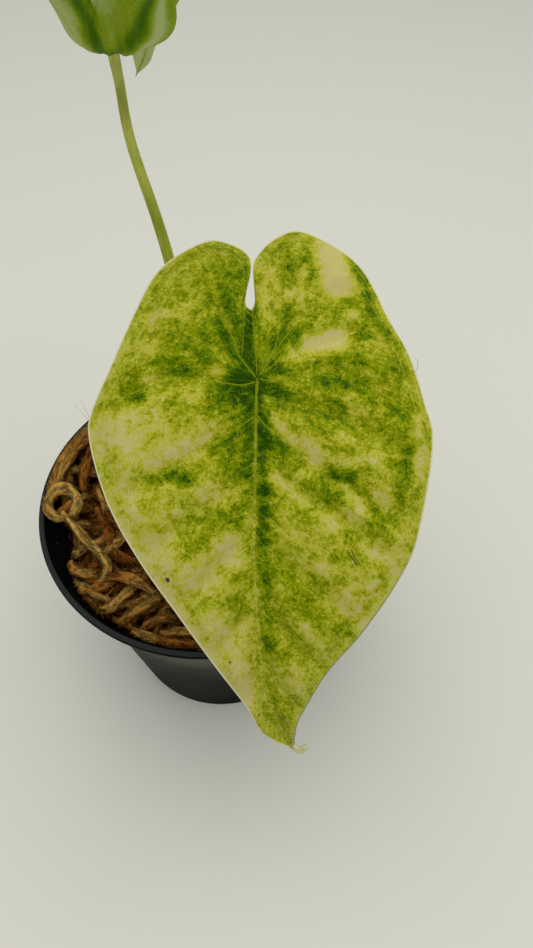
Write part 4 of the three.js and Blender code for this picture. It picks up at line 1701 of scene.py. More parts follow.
@dataclass
class Moss:
    """The dried sphagnum: a pressed bed, and the strands and scales that lie on it."""

    pot: Pot
    node: str = "moss_bed"
    level: float = 59.5
    mound: float = 3
    # Each lump's middle, how far it rises and how far it reaches
    lumps: tuple[tuple[float, float, float, float], ...] = (
        (-34, -10, -4.6, 8.5), (-23, -24, 3.0, 8), (-31, 13, 5.2, 9.5), (-2, -34, -3.0, 8),
        (16, 24, 2.6, 13), (28, -12, -2.4, 12), (14, -20, 1.8, 10), (-16, 4, -1.6, 8),
    )
    ripple: float = 0.5
    # How quickly the ripple's two waves swing along x and along y
    ripple_waves: tuple[Pair, Pair] = ((0.41, 0.23), (-0.29, 0.37))
    gap: float = 0.3
    sunk: float = 1.8
    edge_sunk: float = 0.54
    bed_levels: tuple[float, ...] = (20, 40, 54)
    bed_rough: float = 0.35
    rings: int = 44
    sides: int = 132
    crown_centre: Pair = (4, 1)
    crown_room: float = 5.6
    wall_room: float = 0.1
    pressed: float = 0.9
    over_rim: Pair = (-1.2, 1.0)
    over_rim_reach: float = 5
    swell: float = 0.12
    taper: float = 0.6
    core: float = 0.72
    core_darker: float = 0.15
    twist: float = 0.5
    curl: float = 0.12
    # Each of a strand's waves up and down: how high it is, and how quickly it swings
    waves: tuple[Pair, ...] = ((0.7, 5.0), (0.35, 11.0))
    ends_sunk: float = 2.4
    seed: int = 7
    # The deeper a layer starts, the darker the tints that it draws: painted shade within the pile.
    kinds: tuple[StrandKind, ...] = (
        StrandKind(120, (-1.8, -0.4), (1.0, 1.5), (10, 18), 1.7, (0.5, 1.0), 0.36, 0.20, 7),
        StrandKind(105, (-0.6, 1.2), (1.1, 1.7), (10, 20), 1.6, (0.25, 0.8), 0.34, 0.22, 8),
        StrandKind(45, (0.6, 2.0), (1.0, 1.5), (12, 22), 1.6, (0.1, 0.6), 0.32, 0.22, 8),
        StrandKind(180, (-0.2, 1.8), (0.08, 0.16), (10, 20), 1.0, (0.1, 0.8), 0.6, 0.0, 4),
    )
    scales_per_mm: float = 9.5
    scales_kept: float = 0.84
    scale_length: Pair = (0.9, 2.1)
    scale_width: float = 0.17
    scale_lean: Pair = (0.15, 0.5)
    scale_upward: float = 1.2
    scale_bend: float = 0.25
    scale_root: float = 0.6
    scale_back: float = 0.2
    scale_shade: Pair = (-0.08, 0.16)

    LAYOUT = {"strand": 3, "tint": 1}

    def height(self, x: Array, y: Array) -> Array:
        """The height of the bed's top."""
        share = np.hypot(x, y) / self.pot.inner_radius(self.level)
        height = self.level + self.mound * (1 - share**2)
        for lump_x, lump_y, rise, reach in self.lumps:
            square = (x - lump_x) ** 2 + (y - lump_y) ** 2
            height = height + rise * np.exp(-square / reach**2)
        first, second = (np.sin(a * x + b * y) for a, b in self.ripple_waves)
        return height + self.ripple * first * second

    def build(self, effects: Effects) -> Piece:
        """Makes the moss in three pieces, the first of which stands for its node."""
        draws = np.random.default_rng(self.seed)
        finish = MossFinish("dried_moss").make(effects)
        bed, strands, scales = (Skin(self.LAYOUT) for _ in range(3))
        self._add_bed(bed, draws)
        for layer, kind in enumerate(self.kinds):
            target = bed if layer == 0 else strands
            made = 0
            while made < kind.count:
                made += self._add_wandering(target, scales, kind, draws)
        for laid in LAID_STRANDS:
            path = self._inside(smooth_path(laid.path, 8 * len(laid.path)), laid.radius)
            self._add_strand(strands, scales, path, laid.radius, laid.tint, laid.ridges, 8, draws)
        piece = show("moss_pile", bed.mesh("moss_pile"), [finish])
        stand_for(piece, self.node)
        wisps = Skin(self.LAYOUT)
        for radius, points in WISPS:
            path = smooth_path(points, 8 * len(points))
            self._add_strand(wisps, wisps, path, radius, 0.0, 0.0, 6, draws)
        pale = PaperFinish("pale_hairs", (0.95, 0.92, 0.84), (0.75, 0.70, 0.60)).make(effects)
        extras = (
            ("moss_strands", strands, finish),
            ("moss_scales", scales, finish),
            ("moss_wisps", wisps, pale),
        )
        for name, skin, dress in extras:
            extra = show(name, skin.mesh(name), [dress])
            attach(extra, BODY)
            LOG.info("%s: %d faces", name, len(extra.data.polygons))
        return piece

    def _inside(self, path: Array, radius: float) -> Array:
        """A path moved inwards where a strand of a radius would meet the wall."""
        reach = self.pot.inner_radius(path[:, 2]) - radius * self.pressed
        low, high = (self.pot.height + level for level in self.over_rim)
        reach = reach + self.over_rim_reach * smoothstep(path[:, 2], low, high)
        squeeze = np.minimum(1, reach / np.hypot(path[:, 0], path[:, 1]))
        return path * np.stack([squeeze, squeeze, np.ones(len(path))], axis=1)

    def _add_bed(self, skin: Skin, draws: Draws) -> None:
        """Adds the pressed bed under the strands, in the darkest tint: painted shade deep in the pile.
        """
        pot = self.pot
        levels = (pot.floor + self.gap, *self.bed_levels)
        turn = np.linspace(0, 2 * math.pi, self.sides, endpoint=False)
        rows = []
        for z in levels:
            rows.append(around(float(pot.inner_radius(z)) - self.gap, turn, z))
        outer = float(pot.inner_radius(self.level)) - self.gap
        for ring in range(self.rings, 0, -1):
            radius = outer * ring / self.rings
            x, y = radius * np.cos(turn), radius * np.sin(turn)
            rough = draws.normal(0, self.bed_rough, len(turn)) * (ring < self.rings)
            sunk = self.sunk if ring < self.rings else self.edge_sunk
            z = self.height(x, y) - sunk + rough
            rows.append(np.stack([x, y, z], 1))
        middle = np.array([[0, 0, levels[0]], [0, 0, float(self.height(0.0, 0.0)) - self.sunk]])
        points = np.concatenate([*rows, middle])
        ring = np.arange(self.sides)
        after = (ring + 1) % self.sides
        bottom = np.stack([np.full(self.sides, len(points) - 2), after, ring], axis=1)
        last = (len(rows) - 1) * self.sides
        top = np.stack([np.full(self.sides, len(points) - 1), ring + last, after + last], axis=1)
        body = grid_faces(len(rows), self.sides, closed=True)
        # The darkest tint here is painted shade for the moss deep between the strands.
        skin.add(points, [body, bottom, top], strand=points / 3, tint=1.0)

    def _add_wandering(self, skin: Skin, scales: Skin, kind: StrandKind, draws: Draws) -> int:
        """Adds one wandering strand, or nothing where it would meet the crown.

        Args:
            skin: the mesh that it joins.
            scales: the mesh that its scales join.
            kind: the kind of strand.
            draws: where its random numbers come from.

        Returns:
            How many strands were added.
        """
        count = int(draws.integers(kind.points[0], kind.points[1] + 1))
        radius = draws.uniform(*kind.radius)
        reach = float(self.pot.inner_radius(self.level)) - self.wall_room - radius
        turn = draws.uniform(0, 2 * math.pi)
        away = reach * math.sqrt(draws.uniform(0, 1))
        curl = draws.normal(0, self.curl) * np.arange(count)
        way = draws.uniform(0, 2 * math.pi) + np.cumsum(draws.normal(0, kind.wander, count)) + curl
        x = away * math.cos(turn) + np.cumsum(kind.step * np.cos(way))
        y = away * math.sin(turn) + np.cumsum(kind.step * np.sin(way))
        base = draws.uniform(*kind.depth)
        phase = draws.uniform(0, 2 * math.pi, 2)
        tint = draws.uniform(*kind.tint)
        room = np.hypot(x - self.crown_centre[0], y - self.crown_centre[1])
        if room.min() < self.crown_room + radius:
            return 0
        squeeze = np.minimum(1, (reach + radius) / np.maximum(np.hypot(x, y), 1e-6))
        x, y = x * squeeze, y * squeeze
        share = np.linspace(0, 1, count)
        arch = np.sqrt(np.maximum(np.sin(math.pi * share), 0))
        waves = sum(
            rise * np.sin(swing * share + shift) for (rise, swing), shift in zip(self.waves, phase)
        )
        z = self.height(x, y) + base + waves - self.ends_sunk * (1 - arch)
        path = self._inside(smooth_path(np.stack([x, y, z], axis=1), count * 2), radius)
        self._add_strand(skin, scales, path, radius, tint, kind.ridges, kind.sides, draws)
        return 1

    def _add_strand(
        self,
        skin: Skin,
        scales: Skin,
        path: Array,
        radius: float,
        tint: float,
        ridges: float,
        sides: int,
        draws: Draws,
    ) -> None:
        """Adds one strand along a path.

        Args:
            skin: the mesh that it joins.
            scales: the mesh that its scales join.
            path: its middle.
            radius: its greatest radius.
            tint: its tint.
            ridges: how deep its lengthwise ridges are. Strands with none get no scales.
            sides: how many sides it has.
            draws: where its random numbers come from.
        """
        fine = np.linspace(0, 1, len(path))
        swell = 1 + self.swell * np.sin(fine * 17 + radius * 40)
        radii = radius * (1 - self.taper * np.abs(2 * fine - 1) ** 3) * swell
        core = radii * (self.core if ridges > 0 else 1)
        tube = Tube.of(path, core, sides, ridges=ridges, twist=self.twist)
        strand = tube.strand(draws.uniform(0, 1))
        skin.add(tube.points, tube.faces, strand=strand, tint=min(1.0, tint + self.core_darker))
        if ridges > 0:
            self._add_scales(scales, path, radii, tint, draws)

    def _add_scales(
        self, skin: Skin, path: Array, radii: Array, tint: float, draws: Draws
    ) -> None:
        """Adds the small pointed leaves that cover a strand, each a thin closed spike.

        Args:
            skin: the mesh that they join.
            path: the strand's middle.
            radii: its radius at each point.
            tint: its tint.
            draws: where the random numbers come from.
        """
        length = float(np.linalg.norm(np.diff(path, axis=0), axis=1).sum())
        count = int(length * self.scales_per_mm)
        at = draws.integers(1, len(path) - 1, count)
        way = unit(path[at + 1] - path[at - 1])
        spin = draws.normal(0, 1, (count, 3))
        spin[:, 2] = np.abs(spin[:, 2]) * self.scale_upward
        out = unit(spin - (spin * way).sum(axis=1, keepdims=True) * way)
        side = np.cross(way, out)
        size = draws.uniform(*self.scale_length, (count, 1))
        lean = draws.uniform(*self.scale_lean, (count, 1))
        bend = draws.normal(0, self.scale_bend, (count, 1))
        root = path[at] + out * radii[at][:, None] * self.scale_root
        tip = root + (lean * out + way + bend * side) * size
        left = root + side * self.scale_width * size
        right = root - side * self.scale_width * size
        back = root - out * self.scale_back - way * self.scale_back
        kept = int(count * self.scales_kept)
        points = np.stack([left, right, back, tip], axis=1)[:kept].reshape(-1, 3)
        corner = np.array([(0, 1, 3), (1, 2, 3), (2, 0, 3), (1, 0, 2)])
        faces = (np.arange(kept)[:, None, None] * 4 + corner).reshape(-1, 3)
        shade = np.clip(tint + draws.normal(*self.scale_shade, count), 0, 1)[:kept]
        skin.add(points, [faces], strand=points / 2, tint=np.repeat(shade, 4))


@dataclass
class Crown:
    """The short rootstock with its roots and papery sheaths."""

    node: str = "crown"
    centre: Pair = (4, 1)
    profile: tuple[Pair, ...] = (
        (0, 42), (2.2, 43), (4.2, 46.5), (5.2, 51), (5.1, 56), (4.6, 61), (4.2, 65), (3.4, 66.2),
        (0, 66.4),
    )
    sides: int = 72
    outline_steps: int = 70
    # The old leaf scars: how deep their rings and folds are, how close, how many and how slanted
    scar_depths: Pair = (0.10, 0.12)
    scar_rings: float = 2.4
    scar_folds: int = 5
    scar_slant: float = 0.4
    roots: int = 5
    root_top: float = 47
    root_end: float = 14
    root_shorter: float = 4
    root_higher: float = 6
    root_start: float = 1.5
    root_spread: float = 17
    root_turn: float = 1.3
    root_droop: float = 1.4
    root_radius: float = 1.1
    root_tip_radius: float = 0.5
    root_sides: int = 12
    # Each sheath's foot, its radius there and its height
    sheaths: tuple[tuple[float, float, float, float], ...] = (
        (5.9, -0.9, 2.5, 11.0),
        (2.2, 2.8, 2.4, 9.0),
        (4.4, 0.6, 4.5, 5.0),
    )
    sheath_bottom: float = 62.5
    sheath_thickness: float = 0.22
    sheath_low: float = 0.35
    sheath_torn: float = 0.25
    sheath_teeth: float = 9
    sheath_waist: float = 0.32
    sheath_flare: float = 0.18
    sheath_crinkle: float = 0.08
    sheath_wrap: float = 2.6
    sheath_turn: float = 2.1
    sheath_columns: int = 61
    sheath_rows: int = 25

    LAYOUT = {"strand": 3}

    def build(self, effects: Effects) -> Piece:
        """Makes the crown and lets it stand for its node."""
        skin = Skin(self.LAYOUT)
        self._add_stock(skin)
        for number in range(self.roots):
            self._add_root(skin, number)
        for number, sheath in enumerate(self.sheaths):
            self._add_sheath(skin, number, *sheath)
        finish = PaperFinish("dry_paper").make(effects)
        piece = show("crown_stock", skin.mesh("crown_stock", weld=0.005), [finish])
        stand_for(piece, self.node)
        return piece

    def _add_stock(self, skin: Skin) -> None:
        """Adds the rootstock, ringed with old leaf scars."""
        outline = smooth_path(self.profile, self.outline_steps)
        points, faces = turned([tuple(pair) for pair in outline], self.sides)
        turn, z = np.arctan2(points[:, 1], points[:, 0]), points[:, 2]
        ring, fold = self.scar_depths
        scars = ring * np.sin(z * self.scar_rings)
        scars = scars + fold * np.sin(self.scar_folds * turn + z * self.scar_slant)
        radius = np.hypot(points[:, 0], points[:, 1])
        swell = 1 + scars * smoothstep(radius, 0.5, 2.5) / np.maximum(radius, 1)
        points = points * np.stack([swell, swell, np.ones(len(points))], axis=1)
        strand = np.stack([turn / (2 * math.pi), z, np.zeros(len(points))], axis=1)
        skin.add(points + (*self.centre, 0), faces, strand=strand)

    def _add_root(self, skin: Skin, number: int) -> None:
        """Adds one root."""
        share = np.linspace(0, 1, 5)
        spread = self.root_spread - self.root_shorter * (number % 2)
        turn = 2 * math.pi * number / self.roots + self.root_turn * share
        reach = self.root_start + spread * np.sin(share * math.pi / 2)
        low = self.root_end + self.root_higher * (number % 3)
        z = self.root_top + (low - self.root_top) * share**self.root_droop
        x = self.centre[0] + reach * np.cos(turn)
        y = self.centre[1] + reach * np.sin(turn)
        path = smooth_path(np.stack([x, y, z], axis=1), 30)
        radii = np.linspace(self.root_radius, self.root_tip_radius, len(path))
        tube = Tube.of(path, radii, self.root_sides, (1.0, 0.3, 0.0), ridges=0.08)
        skin.add(tube.points, tube.faces, strand=tube.strand(number / self.roots))

    def _add_sheath(
        self, skin: Skin, number: int, x: float, y: float, radius: float, height: float
    ) -> None:
        """Adds one papery sheath that wraps a stalk and ends in a torn point.

        Args:
            skin: the mesh that it joins.
            number: its place in the row of sheaths.
            x: the middle of its foot.
            y: the middle of its foot.
            radius: its radius at its foot.
            height: how far its point stands above its foot.
        """
        turns = np.linspace(-self.sheath_wrap, self.sheath_wrap, self.sheath_columns)
        levels = np.linspace(0, 1, self.sheath_rows)
        level, turn = np.meshgrid(levels, turns, indexing="ij")
        low = self.sheath_low
        top = height * (low + (1 - low) * np.cos(turn / 2) ** 3)
        top = top + self.sheath_torn * np.sin(turn * self.sheath_teeth)
        z = self.sheath_bottom + level * top
        wide = radius * (1 - self.sheath_waist * level + self.sheath_flare * level**3)
        wide = wide + self.sheath_crinkle * np.sin(turn * 7 + level * 4)
        face = turn + self.sheath_turn * number
        shells = []
        for out in (wide, wide - self.sheath_thickness):
            shells.append(around(out, face, z) + (x, y, 0))
        rows, columns = level.shape
        count = rows * columns
        points = np.concatenate([shell.reshape(-1, 3) for shell in shells])
        quads = grid_faces(rows, columns)
        border = [
            *range(columns),
            *range(2 * columns - 1, count, columns),
            *range(count - 2, count - columns - 1, -1),
            *range(count - 2 * columns, 0, -columns),
        ]
        start = np.array(border)
        end = np.roll(start, -1)
        rim = np.stack([start, start + count, end + count, end], axis=1)
        strand = np.stack([turn.ravel() / 6, z.ravel(), np.full(count, 0.3 * number)], axis=1)
        skin.add(
            points,
            [quads, quads[:, ::-1] + count, rim],
            strand=np.concatenate([strand, strand]),
        )


# Studio


@dataclass
class Studio:
    """The camera at the photograph's viewing angle, a plain floor and soft lights."""

    camera_place: Triple = (12.8, -90.0, 199.1)
    camera_pitch: float = 54.2
    lens: float = 27.04
    sensor: float = 36.0
    floor_half: float = 3000.0
    world_colour: Colour = (0.95, 0.98, 1.0)
    world_strength: float = 0.455
    # Each light's name, place, size, power in watts and colour
    lights: tuple[tuple[str, Triple, float, float, Colour], ...] = (
        ("key", (0, 20, 710), 700, 2.95, (1.0, 0.99, 0.95)),
        ("fill", (480, -300, 560), 600, 0.4, (1.0, 0.98, 0.95)),
    )
    light_target: Triple = (0, 0, 60)

    def build(self, effects: Effects) -> None:
        """Makes the camera, the floor and the lights."""
        scene = bpy.context.scene
        scene.view_settings.view_transform = "Standard"
        camera = bpy.data.cameras.new("camera")
        camera.lens = self.lens
        camera.sensor_width = self.sensor
        camera.clip_start = 0.01
        eye = bpy.data.objects.new("camera", camera)
        eye.location = [value * MM for value in self.camera_place]
        eye.rotation_euler = (math.radians(90 - self.camera_pitch), 0, 0)
        scene.collection.objects.link(eye)
        scene.camera = eye
        self._add_floor(effects)
        for light in self.lights:
            self._add_light(*light)
        world = bpy.data.worlds.new("studio")
        world.use_nodes = True
        background = world.node_tree.nodes["Background"]
        background.inputs["Color"].default_value = (*self.world_colour, 1.0)
        background.inputs["Strength"].default_value = self.world_strength
        scene.world = world

    def _add_floor(self, effects: Effects) -> None:
        """Makes the floor that the pot stands on."""
        half = self.floor_half
        corners = np.array([(-half, -half, 0), (half, -half, 0), (half, half, 0), (-half, half, 0)])
        skin = Skin({})
        skin.add(corners.astype(float), [np.array([(0, 1, 2, 3)])])
        floor = show("floor", skin.mesh("floor"), [FloorFinish("floor").make(effects)])

    def _add_light(
        self, name: str, place: Triple, size: float, power: float, colour: Colour
    ) -> None:
        """Adds a soft square light.

        Args:
            name: its name.
            place: where it hangs.
            size: the length of its side.
            power: its power in watts.
            colour: its colour.
        """
        lamp = bpy.data.lights.new(name, "AREA")
        lamp.size = size * MM
        lamp.energy = power
        lamp.color = colour
        holder = bpy.data.objects.new(name, lamp)
        start = np.array(place, float)
        way = unit(np.array(self.light_target, float) - start)
        side = unit(np.cross(way, (0.0, 0.0, 1.0)))
        up = np.cross(side, way)
        turn = Matrix([side, up, -way]).transposed().to_4x4()
        holder.matrix_world = Matrix.Translation([value * MM for value in place]) @ turn
        bpy.context.scene.collection.objects.link(holder)


FRONT_FORM = LeafForm(
    joint=(11.5, -20.6, 125.8),
    heading=0,
    tilt=33.8,
    size=1,
    towards_tip=((0, 0), (52, -28)),
    lobes=((0, 0), (21, -18)),
    sides=((0, 10), (25, -16)),
    sides_at_tip=((0, 16), (10, 0)),
    tip_from=18,
    tip_to=46,
    wave=0.7,
    wave_turns=3.5,
    margin_roll=0.8,
)
BACK_FORM = LeafForm(
    joint=(-7.9, 12, 156),
    heading=180,
    tilt=-5,
    size=0.92,
    towards_tip=((0, 0), (50, -63)),
    lobes=((0, -14), (3.5, 36), (7, 70), (18, 46)),
    sides=((0, -24), (3.5, 38), (7, 80), (22, 34)),
    sides_at_tip=((0, 18), (3, 31), (6, 44), (14, 30)),
    left_sides=((0, -22), (7.2, 34), (10.8, 90), (20, 10)),
    left_sides_at_tip=((0, 24), (3, 45), (6, 64), (14, 66)),
    tip_from=6,
    tip_to=42,
    wave=0.6,
    wave_turns=2.5,
    margin_roll=0.4,
)

# The left rays near the back leaf's tip, which is narrower there than the front one
BACK_TIP = {
    13: (-10.6, -33.2, -5.6, -27.3),
    14: (-4.6, -41.4, -2.4, -36.4),
    15: (-0.2, -50.1, 0.4, -46.4),
    16: (2.3, -55.6, 2.1, -53.2),
}
# Its notch, which is shorter
BACK_NOTCH = (
    Ray(0, (-0.9, 14.9, -0.4, 7), (-0.9, 14.9, -0.4, 7)),
    Ray(0, (-1.35, 15.4, -1.45, 7.6), (-0.55, 15.5, -0.1, 7.5)),
    Ray(0, (-1.1, 17.6, -2.6, 9.4), (-0.75, 17.7, 0.5, 8.9)),
)
BACK_PLAN = BladePlan(
    rays=(
        *BACK_NOTCH,
        *(
            replace(ray, left=BACK_TIP.get(number, ray.left))
            for number, ray in enumerate(BladePlan.rays[3:], 3)
        ),
    )
)
